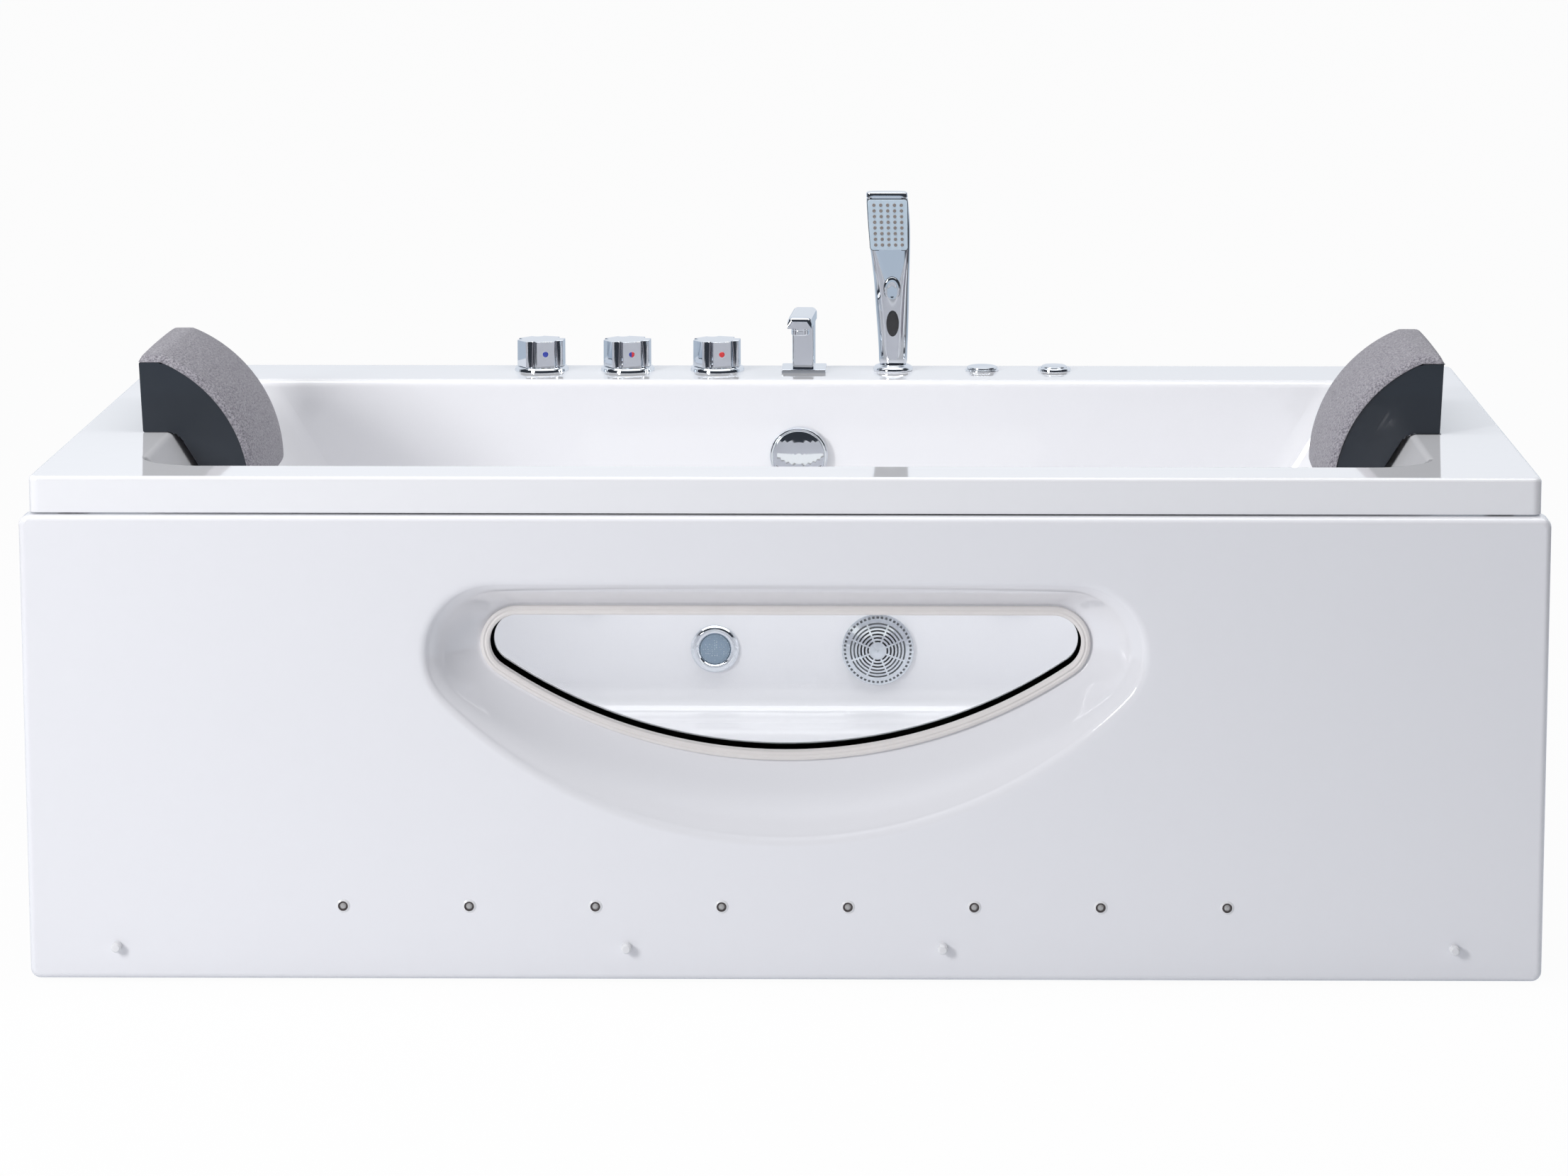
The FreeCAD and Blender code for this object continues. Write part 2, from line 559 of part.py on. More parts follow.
holder_bore = "cup_barrel - cup_wall"
spot_cups, spot_holders, spot_lenses = [], [], []
for i, x in enumerate(SPOTS):
    at = (x, "panel_face", "spot_height")
    spot_cups.append(turned(f"cup_{i}", at, "-y", [
        (holder_bore, "-spot_length"), ("cup_barrel", "-spot_length"), ("cup_barrel", "0"),
        ("cup_radius", "0"), ("cup_radius - 0.4", "0.6"), (holder_bore, "1.5")]))
    spot_holders.append(turned(f"holder_{i}", at, "-y", [
        ("spot_lens_radius", "-spot_length"), (f"{holder_bore}", "-spot_length"), (f"{holder_bore}", "0.6"),
        ("spot_lens_radius", "0.6")]))
    spot_lenses.append(turned(f"spot_lens_{i}", at, "-y", [
        ("0", "-spot_length - 4"), ("spot_lens_radius", "-spot_length - 4"), ("spot_lens_radius", "0"),
        ("spot_lens_radius - 1.5", "1.2"), ("0", "1.8")]))
node(group("spot_cups", spot_cups))
node(group("spot_holders", spot_holders))
node(group("spot_lenses", spot_lenses))

# ---------------------------------------------------------------- steel frame
# Welded square tube: two long rails on feet, cross rails under the basin, posts up to the rim.

frame_parts = []


def square_tube(name, x, y, z, along, bore=None):
    """A square tube; along is the axis that its bore runs along."""
    inner = []
    for axis, (low, high) in zip("xyz", (x, y, z)):
        step = "-1" if axis == along else "tube_wall"
        inner.append((f"({low}) + {step}", f"({high}) - ({step})"))
    tools = [block(name + "_bore", *inner)] + (bore or [])
    frame_parts.append(cut(name, block(name + "_stock", x, y, z), *tools))


def around(x, half="tube_side / 2"):
    return (f"({x}) - ({half})", f"({x}) + ({half})")


FRONT = ("frame_front", "frame_front + tube_side")
REAR = ("frame_rear - tube_side", "frame_rear")
FEET = ["-foot_x", "0", "foot_x"]
for side, y, foot_y in (("front", FRONT, "foot_front_y"), ("rear", REAR, "foot_rear_y")):
    holes = [rod(f"{side}_stud_hole_{i}", (x, foot_y, "rail_height - 5"), "z", "stud_radius + hole_gap",
                 "tube_side + 10") for i, x in enumerate(FEET)]
    square_tube(f"{side}_rail", ("-rail_half", "rail_half"), y, ("rail_height", "rail_top"), "x", holes)
    for i, x in enumerate(("-post_x", "-post_mid_x", "post_mid_x", "post_x")):
        square_tube(f"{side}_post_{i}", around(x), y, ("rail_top", "rim_under"), "z")
CROSS = ["-cross_outer_x", "-cross_inner_x", "cross_inner_x", "cross_outer_x",
         "pump_x - pump_rail_half", "pump_x + pump_rail_half"]
for i, x in enumerate(CROSS):
    square_tube(f"cross_rail_{i}", around(x), ("frame_front", "frame_rear"),
                ("rail_top", "rail_top + tube_side"), "y")
for i, x in enumerate(("-post_x", "post_x")):
    square_tube(f"end_rail_{i}", around(x), (FRONT[1], REAR[0]),
                ("end_rail_height", "end_rail_height + tube_side"), "y")
tab_y = "panel_face + panel_wall"
for i, x in enumerate(PLUGS):
    leg = block(f"tab_leg_{i}", around(x), (tab_y, f"{tab_y} + tab_thick"), ("tab_foot", "rail_height"))
    reach = block(f"tab_reach_{i}", around(x), (tab_y, FRONT[1]), ("rail_height - tab_thick", "rail_height"))
    hole = rod(f"tab_hole_{i}", (x, tab_y, "plug_height"), "y", "plug_stem + seal_gap", "tab_thick")
    frame_parts.append(cut(f"tab_{i}", fuse(f"tab_stock_{i}", leg, reach), hole))
for i, x in enumerate(("-post_x", "-post_mid_x", "post_mid_x", "post_x")):
    frame_parts.append(block(f"top_clip_{i}", around(x), ("panel_face + tab_clear", "frame_front"),
                             ("panel_top - panel_wall - tab_thick", "panel_top - panel_wall")))
node(group("steel_frame", frame_parts))

foot_studs, foot_pads, nuts = [], [], []
for i, (x, y) in enumerate((x, y) for x in FEET for y in ("foot_front_y", "foot_rear_y")):
    foot_studs.append(rod(f"stud_{i}", (x, y, "stud_foot"), "z", "stud_radius", "stud_top - stud_foot"))
    foot_pads.append(turned(f"pad_{i}", (x, y, "0"), "z", [
        ("0", "0"), ("pad_radius", "0"), ("pad_radius", "pad_thick / 2"), ("pad_radius / 2", "pad_thick"),
        ("stud_radius + seal_gap", "pad_thick"), ("stud_radius + seal_gap", "stud_foot"), ("0", "stud_foot")]))
    for word, z in (("under", "rail_height - nut_thick"), ("over", "rail_top")):
        nuts.append(nut(f"foot_nut_{word}_{i}", (x, y, z), "z", "nut_radius", "stud_radius + bearing_gap",
                        "nut_thick"))
node(group("foot_studs", foot_studs))
node(group("foot_pads", foot_pads))

# ---------------------------------------------------------------- taps
# Cold tap, diverter and hot tap: a flange on the deck, a fluted handle, and the valve below.

TAPS = {"cold": "cold_x", "diverter": "diverter_x", "hot": "hot_x"}
tap_flanges, tap_valves = [], []
for word, x in TAPS.items():
    tap_flanges.append(turned(f"{word}_flange", (x, "deck_y", "rim_height"), "z", [
        ("valve_neck + bearing_gap", "0"), ("flange_radius", "0"), ("flange_radius", "flange_thick / 3"),
        ("flange_radius - 4", "flange_thick"), ("valve_neck + bearing_gap", "flange_thick")]))
    neck = rod(f"{word}_neck", (x, "deck_y", "valve_top"), "z", "valve_neck",
               "rim_height + flange_thick + neck_rise - valve_top")
    barrel = rod(f"{word}_barrel", (x, "deck_y", "valve_foot"), "z", "valve_radius", "valve_top - valve_foot")
    pieces = [neck, barrel]
    if word != "diverter":
        pieces.append(rod(f"{word}_tail", (x, "deck_y", "valve_foot - tail_length"), "z", "tail_radius",
                          "tail_length"))
    valve = fuse(f"{word}_valve_stock", *pieces)
    if word != "diverter":
        waterway = rod(f"{word}_waterway", (x, "deck_y", "valve_foot - tail_length"), "z", "tail_radius - 3",
                       "tail_length + 20")
        valve = cut(f"{word}_valve", valve, waterway)
    tap_valves.append(valve)
    nuts.append(nut(f"{word}_deck_nut", (x, "deck_y", "valve_top"), "z", "valve_neck + deck_nut_lap",
                    "valve_neck + bearing_gap", "deck_nut_thick"))

    stock = turned(f"{word}_handle_stock", (x, "deck_y", "handle_foot"), "z", [
        ("valve_neck + bearing_gap", "0"), ("handle_radius", "0"), ("handle_radius", "handle_height - 2.5"),
        ("handle_radius - 3", "handle_height - 0.8"), ("0", "handle_height"),
        ("0", "neck_rise + 4"), ("valve_neck + bearing_gap", "neck_rise + 4")])
    flutes = []
    for i in range(SIZES["handle_flutes"]):
        turn = f"({i} + 0.5) * 360 / handle_flutes + handle_turn"
        flutes.append(rod(f"{word}_flute_{i}", (f"{x} + flute_line * sin({turn})",
                                                f"deck_y - flute_line * cos({turn})", "handle_foot - 1"),
                          "z", "flute_radius", "handle_height + 2"))
    node(cut(f"{word}_handle", stock, *flutes))
node(group("tap_flanges", tap_flanges))
node(group("tap_valves", tap_valves))

# Pipes under the deck: cold and hot feed the diverter, which feeds the spout or the hand shower.
mixers = [rod(f"{word}_link", (f"{x} + valve_radius", "deck_y", "valve_foot + 20"), "x", "mixer_radius",
              f"{next_x} - {x} - 2 * valve_radius")
          for word, x, next_x in (("cold", "cold_x", "diverter_x"), ("hot", "diverter_x", "hot_x"))]


def upright(word, radius):
    """A tall cylinder in the place of one deck fitting, to trim a pipe against it."""
    return Part.makeCylinder(mm(radius), 300, V(mm(word), mm("deck_y"), mm("rim_height") - 250))


for word, end_x, height, end_radius in (("spout", "spout_x", "spout_pipe_z", "shank_radius"),
                                        ("shower", "shower_x", "shower_pipe_z", "socket_barrel")):
    z = mm(height)
    deck, behind = mm("deck_y"), mm("mixer_y")
    route = [V(mm("diverter_x"), deck - mm("valve_radius") * 0.9, z), V(mm("diverter_x"), behind, z),
             V(mm(end_x), behind, z), V(mm(end_x), deck - mm(end_radius) * 0.7, z)]
    pipe = run(route, mm("mixer_radius"), mm("mixer_radius") * 1.2)
    pipe = pipe.cut(upright("diverter_x", "valve_radius")).cut(upright(end_x, end_radius))
    mixers.append(shaped(f"{word}_feed", pipe))

# ---------------------------------------------------------------- spout
# A square column on a square base, a level head that reaches over the basin, a round aerator.

half_base = "spout_base_side / 2"
base_block = block("spout_base_block", around("spout_x", half_base), around("deck_y", half_base),
                   ("rim_height", "spout_floor"))
shank_hole = rod("spout_base_hole", ("spout_x", "deck_y", "rim_height - 5"), "z",
                 "shank_radius + bearing_gap", "spout_base_thick + 10")
node(cut("spout_base", base_block, shank_hole))
column = block("spout_column", around("spout_x", "column_wide / 2"), around("deck_y", "column_deep / 2"),
               ("spout_floor", "spout_top - 2"))
head = block("spout_head", around("spout_x", "head_wide / 2"), ("spout_nose", "deck_y + column_deep / 2"),
             ("head_foot", "spout_top"))
head = rounded("spout_head_round", head, "head_round",
               lambda e: abs(e.Vertexes[0].Y - e.Vertexes[1].Y) > 1
               and e.Vertexes[0].Z > mm("spout_top") - 1)
shank = rod("spout_shank", ("spout_x", "deck_y", "rim_height - shank_drop"), "z", "shank_radius",
            "shank_drop + spout_base_thick + 2")
aerator_y = "spout_nose + aerator_inset"
water_hole = rod("spout_nose_hole", ("spout_x", aerator_y, "head_foot - 1"), "z",
                 "aerator_radius - 3 + seal_gap", "6")
node(cut("spout_body", fuse("spout_stock", column, head, shank), water_hole))
node(turned("spout_aerator", ("spout_x", aerator_y, "head_foot"), "z", [
    ("aerator_radius - 5", "-aerator_drop"), ("aerator_radius - 1", "-aerator_drop"),
    ("aerator_radius", "1 - aerator_drop"), ("aerator_radius", "0"), ("aerator_radius - 3", "0"),
    ("aerator_radius - 3", "4.8"), ("aerator_radius - 5", "4.8")]))
nuts.append(nut("spout_deck_nut", ("spout_x", "deck_y", "valve_top"), "z", "shank_radius + deck_nut_lap",
                "shank_radius + bearing_gap", "deck_nut_thick"))

# ---------------------------------------------------------------- hand shower
# It stands in a round socket and lifts straight out. The head leans a little to the left.

node(turned("shower_socket", ("shower_x", "deck_y", "rim_height"), "z", [
    ("peg_radius + bearing_gap", "-socket_drop"), ("socket_barrel", "-socket_drop"), ("socket_barrel", "0"),
    ("socket_radius", "0"), ("socket_radius", "1.5"), ("socket_radius - 3", "socket_rise * 0.6"),
    ("socket_radius - 8", "socket_rise"), ("peg_radius + bearing_gap", "socket_rise")]))
nuts.append(nut("shower_deck_nut", ("shower_x", "deck_y", "valve_top"), "z",
                "socket_barrel + deck_nut_lap", "socket_barrel + bearing_gap", "deck_nut_thick"))
# height up the shower, half width, half depth and shift of each section, as shares of its own sizes
HANDLE_SECTIONS = [(0, 0.49, 0.46, 0), (0.12, 0.5, 0.5, 0), (0.38, 0.52, 0.5, 0.1),
                   (0.58, 0.58, 0.46, 0.35), (0.72, 0.68, 0.42, 0.6), (0.96, 0.715, 0.38, 0.95),
                   (1, 0.69, 0.35, 1)]
sections = []
for i, (share, wide, deep, shift) in enumerate(HANDLE_SECTIONS):
    section = doc.addObject("Part::Ellipse", f"handle_section_{i}")
    bind(section, "MajorRadius", f"grip_wide * {wide}")
    bind(section, "MinorRadius", f"grip_deep * {deep}")
    sections.append(place(section, (f"shower_x - head_lean * {shift}", f"deck_y - head_forward * {shift}",
                                    f"shower_foot + (shower_top - shower_foot) * {share}")))
grip = loft("shower_grip", sections)
peg = rod("shower_peg", ("shower_x", "deck_y", "shower_foot - peg_length"), "z", "peg_radius",
          "peg_length + 2")
face_x = "shower_x - head_lean * 0.85"
flat = block("shower_flat", around(face_x, "60"), ("face_y - 40", "face_y"),
             ("face_high - face_tall", "shower_top + 5"))
inlay_front = "deck_y - grip_deep / 2 - 0.5"
inlay_outline = doc.addObject("Part::Ellipse", "inlay_outline")
bind(inlay_outline, "MajorRadius", "inlay_half_tall")
bind(inlay_outline, "MinorRadius", "inlay_half_wide")
inlay_outline.Placement = FreeCAD.Placement(V(), FreeCAD.Rotation(V(0, 1, 0), -90) * FACING["-y"])
for axis, formula in zip("xyz", ("shower_x", inlay_front, "rim_height + inlay_height")):
    bind(inlay_outline, f"Placement.Base.{axis}", formula)
inlay = plate("shower_inlay", inlay_outline, "inlay_deep")
node(inlay)
waterway = rod("shower_waterway", ("shower_x", "deck_y", "shower_foot - peg_length - 1"), "z",
               "peg_radius - 5", "peg_length + 180")
node(cut("shower_handle", fuse("shower_stock", grip, peg), flat, inlay, waterway))
plate_face = block("face_plate_block", around(face_x, "face_wide / 2"), ("face_y - face_thick", "face_y"),
                   ("face_high - face_tall", "face_high"))
node(rounded("shower_face", plate_face, "face_thick",
             lambda e: abs(e.Vertexes[0].Y - e.Vertexes[1].Y) > 1))
face_middle = "face_high - face_tall / 2"
node(group("shower_nozzles", [
    rod(f"nozzle_{row}_{column}",
        (f"{face_x} + ({column} - (nozzle_columns - 1) / 2) * nozzle_pitch_x", "face_y - face_thick - nozzle_rise",
         f"{face_middle} + ({row} - (nozzle_rows - 1) / 2) * nozzle_pitch_z"),
        "y", "nozzle_radius", "nozzle_rise")
    for row in range(SIZES["nozzle_rows"]) for column in range(SIZES["nozzle_columns"])]))

# ---------------------------------------------------------------- air control and push button

node(turned("air_control_base", ("air_x", "deck_y", "rim_height"), "z", [
    ("air_pipe_radius + seal_gap", "-air_drop"), ("air_barrel", "-air_drop"), ("air_barrel", "0"),
    ("air_base_radius", "0"), ("air_base_radius - 1", "air_base_rise"),
    ("air_spindle + bearing_gap", "air_base_rise"), ("air_spindle + bearing_gap", "-20"),
    ("air_pipe_radius + seal_gap", "-20")]))
node(turned("air_control_knob", ("air_x", "deck_y", "rim_height + air_base_rise + rest_gap"), "z", [
    ("0", "-20"), ("air_spindle", "-20"), ("air_spindle", "0"), ("air_knob_radius", "0"),
    ("air_knob_radius - 2", "air_knob_rise"), ("air_knob_radius - 6", "air_knob_rise"),
    ("air_knob_radius - 10", "air_knob_rise - air_dish"), ("0", "air_knob_rise - air_dish")]))
node(turned("button_bezel", ("button_x", "deck_y", "rim_height"), "z", [
    ("0", "-button_drop"), ("button_barrel", "-button_drop"), ("button_barrel", "0"), ("button_radius", "0"),
    ("button_radius - 1.5", "button_rise"), ("cap_radius + bearing_gap", "button_rise"),
    ("cap_radius + bearing_gap", "-button_floor"), ("0", "-button_floor")]))
node(turned("button_cap", ("button_x", "deck_y", "rim_height"), "z", [
    ("0", "5 - button_floor"), ("cap_radius", "5 - button_floor"), ("cap_radius", "cap_rise - 1.5"),
    ("cap_radius - 1.5", "cap_rise"), ("0", "cap_rise")]))
for word, radius in (("air", "air_barrel"), ("button", "button_barrel")):
    nuts.append(nut(f"{word}_deck_nut", (f"{word}_x", "deck_y", "valve_top"), "z",
                    f"{radius} + deck_nut_lap", f"{radius} + bearing_gap", "deck_nut_thick"))

# ---------------------------------------------------------------- overflow and waste
# Turning the overflow knob lifts the plug. Both drain into one outlet under the basin.

over_at = ("0", "open_rear", "overflow_z")
knob_stock = turned("overflow_knob_stock", over_at, "-y", [
    ("0", "-20"), ("overflow_shaft", "-20"), ("overflow_shaft", "overflow_reach - overflow_wall"),
    ("overflow_radius - overflow_wall", "overflow_reach - overflow_wall - 2"),
    ("overflow_radius - overflow_wall", "overflow_wall"), ("overflow_radius", "overflow_wall"),
    ("overflow_radius", "overflow_reach - 3"), ("overflow_radius - 3", "overflow_reach"),
    ("0", "overflow_reach")])
slot_ring = tube("overflow_slot_ring", over_at, "-y", "overflow_radius + 5",
                 "overflow_radius - overflow_wall - 3", "overflow_reach - 6")
slot_low = block("overflow_slot_low", around("0", "overflow_radius * 0.75"),
                 ("open_rear - overflow_reach", "open_rear"),
                 ("overflow_z - overflow_radius - 5", "overflow_z - overflow_radius / 2"))
node(cut("overflow_knob", knob_stock, common("overflow_slot_cut", slot_ring, slot_low)))
over_barrel = rod("overflow_throat", ("0", "open_rear - 3", "overflow_z"), "y", "overflow_barrel",
                  "drain_y - open_rear + 3")
over_flange = rod("overflow_seat", ("0", "open_rear - 3", "overflow_z"), "y", "overflow_flange", "3")
over_drop = rod("overflow_elbow", ("0", "drain_y", "overflow_z - overflow_barrel - 15"), "z",
                "drain_pipe_radius + 4", "2 * overflow_barrel + 15")
over_bore = rod("overflow_bore", ("0", "drain_y", "overflow_z - overflow_barrel - 20"), "z",
                "drain_pipe_radius + seal_gap", "overflow_barrel + 20")
over_mouth = tube("overflow_mouth", ("0", "open_rear - 5", "overflow_z"), "y", "overflow_barrel - 3", "9",
                  "drain_y - open_rear")
spindle_bore = rod("overflow_spindle", ("0", "open_rear - 5", "overflow_z"), "y",
                   "overflow_shaft + bearing_gap", "30")
node(cut("overflow_body", fuse("overflow_stock", over_barrel, over_flange, over_drop),
         over_bore, over_mouth, spindle_bore))
nuts.append(nut("overflow_nut", ("0", "wall_rear", "overflow_z"), "y", "overflow_barrel + deck_nut_lap",
                "overflow_barrel + bearing_gap", "deck_nut_thick"))

drain_route = [V(0, mm("drain_y"), mm("overflow_z") - mm("overflow_barrel") - 5),
               V(0, mm("drain_y"), mm("drain_run_height")),
               V(0, mm("waste_y") + mm("waste_barrel") + 5, mm("drain_run_height"))]
drain_bore = mm("drain_pipe_radius") - mm("drain_pipe_wall")
drain_bend = 2 * mm("drain_pipe_radius")
node(shaped("overflow_pipe", run(drain_route, mm("drain_pipe_radius"), drain_bend).cut(
    run(drain_route, drain_bore, drain_bend))))
node(turned("waste_flange", ("0", "waste_y", "basin_floor"), "z", [
    ("waste_barrel - 4", "-shell_wall"), ("waste_barrel", "-shell_wall"), ("waste_barrel", "0"),
    ("waste_flange", "0"), ("waste_flange - 2", "waste_rise"), ("waste_barrel + 3", "waste_rise"),
    ("waste_barrel - 4", "0")]))
cup = turned("waste_cup", ("0", "waste_y", "0"), "z", [
    ("drain_pipe_radius - 2", "waste_foot"), ("drain_pipe_radius", "waste_foot"),
    ("drain_pipe_radius", "waste_foot + outlet_length"), ("waste_barrel", "waste_foot + outlet_length"),
    ("waste_barrel", "floor_under - 6"), ("waste_flange", "floor_under - 6"), ("waste_flange", "floor_under"),
    ("waste_barrel - 4", "floor_under"), ("waste_barrel - 4", "waste_foot + outlet_length + 3"),
    ("drain_pipe_radius - 2", "waste_foot + outlet_length + 3")])
bar_z = "floor_under - 20"
cup_bar = cut("waste_bar", block("waste_bar_stock", around("0", "waste_barrel - 3"), around("waste_y", "4"),
                                 (bar_z, f"{bar_z} + plug_bar")),
              rod("waste_bar_bore", ("0", "waste_y", f"{bar_z} - 1"), "z", "plug_stem_radius + bearing_gap",
                  "plug_bar + 2"))
guide = cut("waste_guide", rod("waste_guide_stock", ("0", "waste_y", bar_z), "z", "plug_stem_radius + 4",
                               "plug_bar"),
            rod("waste_guide_bore", ("0", "waste_y", f"{bar_z} - 1"), "z", "plug_stem_radius + bearing_gap",
                "plug_bar + 2"))
side_port = rod("waste_side_port", ("0", "waste_y + waste_barrel - 6", "drain_run_height"), "y",
                "drain_pipe_radius + 4", "30")
side_bore = rod("waste_side_bore", ("0", "waste_y + waste_barrel + 4", "drain_run_height"), "y",
                "drain_pipe_radius + seal_gap", "30")
side_way = rod("waste_side_way", ("0", "waste_y + 10", "drain_run_height"), "y", "drain_pipe_radius - 2", "30")
port = cut("waste_port", side_port, side_bore)
node(cut("waste_body", fuse("waste_stock", cut("waste_cup_open", fuse("waste_cup_port", cup, port), side_way),
                            cup_bar, guide),
         rod("waste_stem_way", ("0", "waste_y", f"{bar_z} - 1"), "z", "plug_stem_radius + bearing_gap",
             "plug_bar + 2")))
node(turned("waste_plug", ("0", "waste_y", "basin_floor + waste_rise + rest_gap"), "z", [
    ("0", "-plug_stem_length"), ("plug_stem_radius", "-plug_stem_length"), ("plug_stem_radius", "0"),
    ("plug_disc", "0"), ("plug_disc - 1", "plug_disc_thick - 1"), ("0", "plug_disc_thick")]))

# ---------------------------------------------------------------- jets
# Each jet has a body through the wall, a flange inside the basin and a nozzle that turns.

jet_flanges, jet_bodies = [], []
for word, x in JETS.items():
    at = (x, "open_rear", "jet_z")
    jet_flanges.append(turned(f"jet_flange_{word}", at, "-y", [
        ("jet_barrel + seal_gap", "0"), ("jet_flange", "0"), ("jet_flange", "2"),
        ("jet_flange - 4", "jet_flange_thick"), ("jet_barrel - 1", "jet_flange_thick"),
        ("jet_barrel - 1", "4.2"), ("jet_barrel + seal_gap", "4.2")]))
    barrel = turned(f"jet_barrel_{word}", at, "-y", [
        ("0", "-shell_wall - jet_length"), ("jet_barrel", "-shell_wall - jet_length"), ("jet_barrel", "4"),
        ("jet_barrel - jet_wall", "4"), ("jet_barrel - jet_wall", "-jet_nozzle_length"),
        ("12", "-jet_nozzle_length"), ("12", "jet_wall - shell_wall - jet_length"),
        ("0", "jet_wall - shell_wall - jet_length")])
    water = rod(f"jet_water_port_{word}", (x, "water_y", "jet_z + 20"), "z", "port_radius", "port_rise - 20")
    air = rod(f"jet_air_port_{word}", (x, "air_y", "jet_z - 34"), "z", "air_port_radius", "14")
    ways = [rod(f"jet_room_{word}", (x, "open_rear - 5", "jet_z"), "y", "jet_barrel - jet_wall",
                "jet_nozzle_length + 5"),
            rod(f"jet_water_way_{word}", (x, "water_y", "jet_z + 5"), "z", "port_radius - 5", "port_rise"),
            rod(f"jet_air_way_{word}", (x, "air_y", "jet_z - 40"), "z", "air_port_radius - 4", "35")]
    jet_bodies.append(cut(f"jet_body_{word}", fuse(f"jet_stock_{word}", barrel, water, air), *ways))
    nuts.append(nut(f"jet_nut_{word}", (x, "wall_rear", "jet_z"), "y", "jet_barrel + deck_nut_lap",
                    "jet_barrel + bearing_gap", "deck_nut_thick"))
    ball = turned(f"jet_ball_{word}", at, "-y", [
        ("0", "0.3 - jet_nozzle_length"), ("jet_barrel - jet_wall - bearing_gap", "0.3 - jet_nozzle_length"),
        ("jet_barrel - jet_wall - bearing_gap", "jet_flange_thick"), ("14", "jet_nozzle_reach"),
        ("0", "jet_nozzle_reach")])
    outlet = rod(f"jet_outlet_{word}", (x, "open_rear - jet_nozzle_reach - 1", "jet_z + jet_outlet_side"), "y",
                 "jet_outlet", "jet_nozzle_reach + 26")
    node(cut(f"jet_nozzle_{word}", ball, outlet))
node(group("jet_flanges", jet_flanges))
node(group("jet_bodies", jet_bodies))

# ---------------------------------------------------------------- suction cover and its body
# A dome with a ring of small holes at its edge and six rings of slots between eight spokes.

suction_at = ("suction_x", "open_rear", "fitting_z")
DOME = (1, 0.9, 0.77, 0.62, 0.45, 0.25)
dome_outside = [(f"suction_radius * {share}", f"suction_dome * (1 - 0.6 * {share} ^ 2)") for share in DOME]
dome_inside = [(f"(suction_radius - suction_skin) * {share}",
                f"suction_dome * (1 - 0.6 * {share} ^ 2) - suction_skin") for share in reversed(DOME)]
dome = turned("suction_dome_stock", suction_at, "-y", [
    ("suction_radius - suction_skin", "0"), ("suction_radius", "0"), *dome_outside, ("0", "suction_dome"),
    ("0", "suction_dome - suction_skin"), *dome_inside])
rings = [tube(f"grille_ring_{i}", suction_at, "-y", f"grille_first + {i} * grille_pitch + grille_slot",
              f"grille_first + {i} * grille_pitch", "suction_dome + 5") for i in range(SIZES["grille_rings"])]
spokes = []
for i in range(4):
    spoke = doc.addObject("Part::Box", f"spoke_{i}")
    bind(spoke, "Length", "2 * suction_radius")
    bind(spoke, "Width", "suction_dome + 10")
    bind(spoke, "Height", "grille_spoke")
    turn = 22.5 + 45 * i
    spoke.Placement = FreeCAD.Placement(V(), FreeCAD.Rotation(V(0, 1, 0), turn))
    for axis, formula in zip("xyz", (
            f"suction_x - suction_radius * cos({turn}) - grille_spoke / 2 * sin({turn})",
            "open_rear - suction_dome - 5",
            f"fitting_z + suction_radius * sin({turn}) - grille_spoke / 2 * cos({turn})")):
        bind(spoke, f"Placement.Base.{axis}", formula)
    spokes.append(spoke)
rim_cuts = []
for i in range(SIZES["rim_holes"]):
    turn = 360 / SIZES["rim_holes"] * i
    hole = doc.addObject("Part::Box", f"rim_hole_{i}")
    bind(hole, "Length", "rim_hole_tall")
    bind(hole, "Width", "suction_dome")
    bind(hole, "Height", "rim_hole_wide")
    hole.Placement = FreeCAD.Placement(V(), FreeCAD.Rotation(V(0, 1, 0), turn))
    radial, across = "(rim_hole_line - rim_hole_tall / 2)", "(rim_hole_wide / 2)"
    for axis, formula in zip("xyz", (f"suction_x + {radial} * cos({turn}) - {across} * sin({turn})",
                                     "open_rear - suction_dome",
                                     f"fitting_z - {radial} * sin({turn}) - {across} * cos({turn})")):
        bind(hole, f"Placement.Base.{axis}", formula)
    rim_cuts.append(hole)
slots = cut("grille_slots", fuse("grille_rings_all", *rings), *spokes)
node(cut("suction_cover", dome, slots, *rim_cuts))
well = turned("suction_well", suction_at, "-y", [
    ("0", "open_rear - suction_y - suction_pipe_radius - 3"),
    ("suction_barrel", "open_rear - suction_y - suction_pipe_radius - 3"), ("suction_barrel", "0"),
    ("suction_radius - suction_skin - 1", "0"), ("suction_radius - suction_skin - 1", "2"),
    ("suction_barrel - 3", "2"), ("suction_barrel - 3", "open_rear - suction_y - suction_pipe_radius"),
    ("0", "open_rear - suction_y - suction_pipe_radius")])
SOCKET = "suction_x + suction_barrel + 4"
elbow = rod("suction_elbow", ("suction_x", "suction_y", "fitting_z"), "x", "suction_pipe_radius + 3",
            "suction_barrel + 24")
elbow_way = rod("suction_way", ("suction_x", "suction_y", "fitting_z"), "x", "suction_pipe_radius - 3", "60")
elbow_socket = rod("suction_socket", (SOCKET, "suction_y", "fitting_z"), "x",
                   "suction_pipe_radius + seal_gap", "30")
well_way = rod("suction_well_way", ("suction_x", "open_rear - 1", "fitting_z"), "y", "suction_barrel - 3",
               "suction_line + shell_wall + suction_pipe_radius + 1")
node(cut("suction_body", fuse("suction_stock", well, elbow), elbow_way, elbow_socket, well_way))
nuts.append(nut("suction_nut", ("suction_x", "wall_rear", "fitting_z"), "y", "suction_barrel + deck_nut_lap",
                "suction_barrel + bearing_gap", "deck_nut_thick"))

# ---------------------------------------------------------------- underwater light

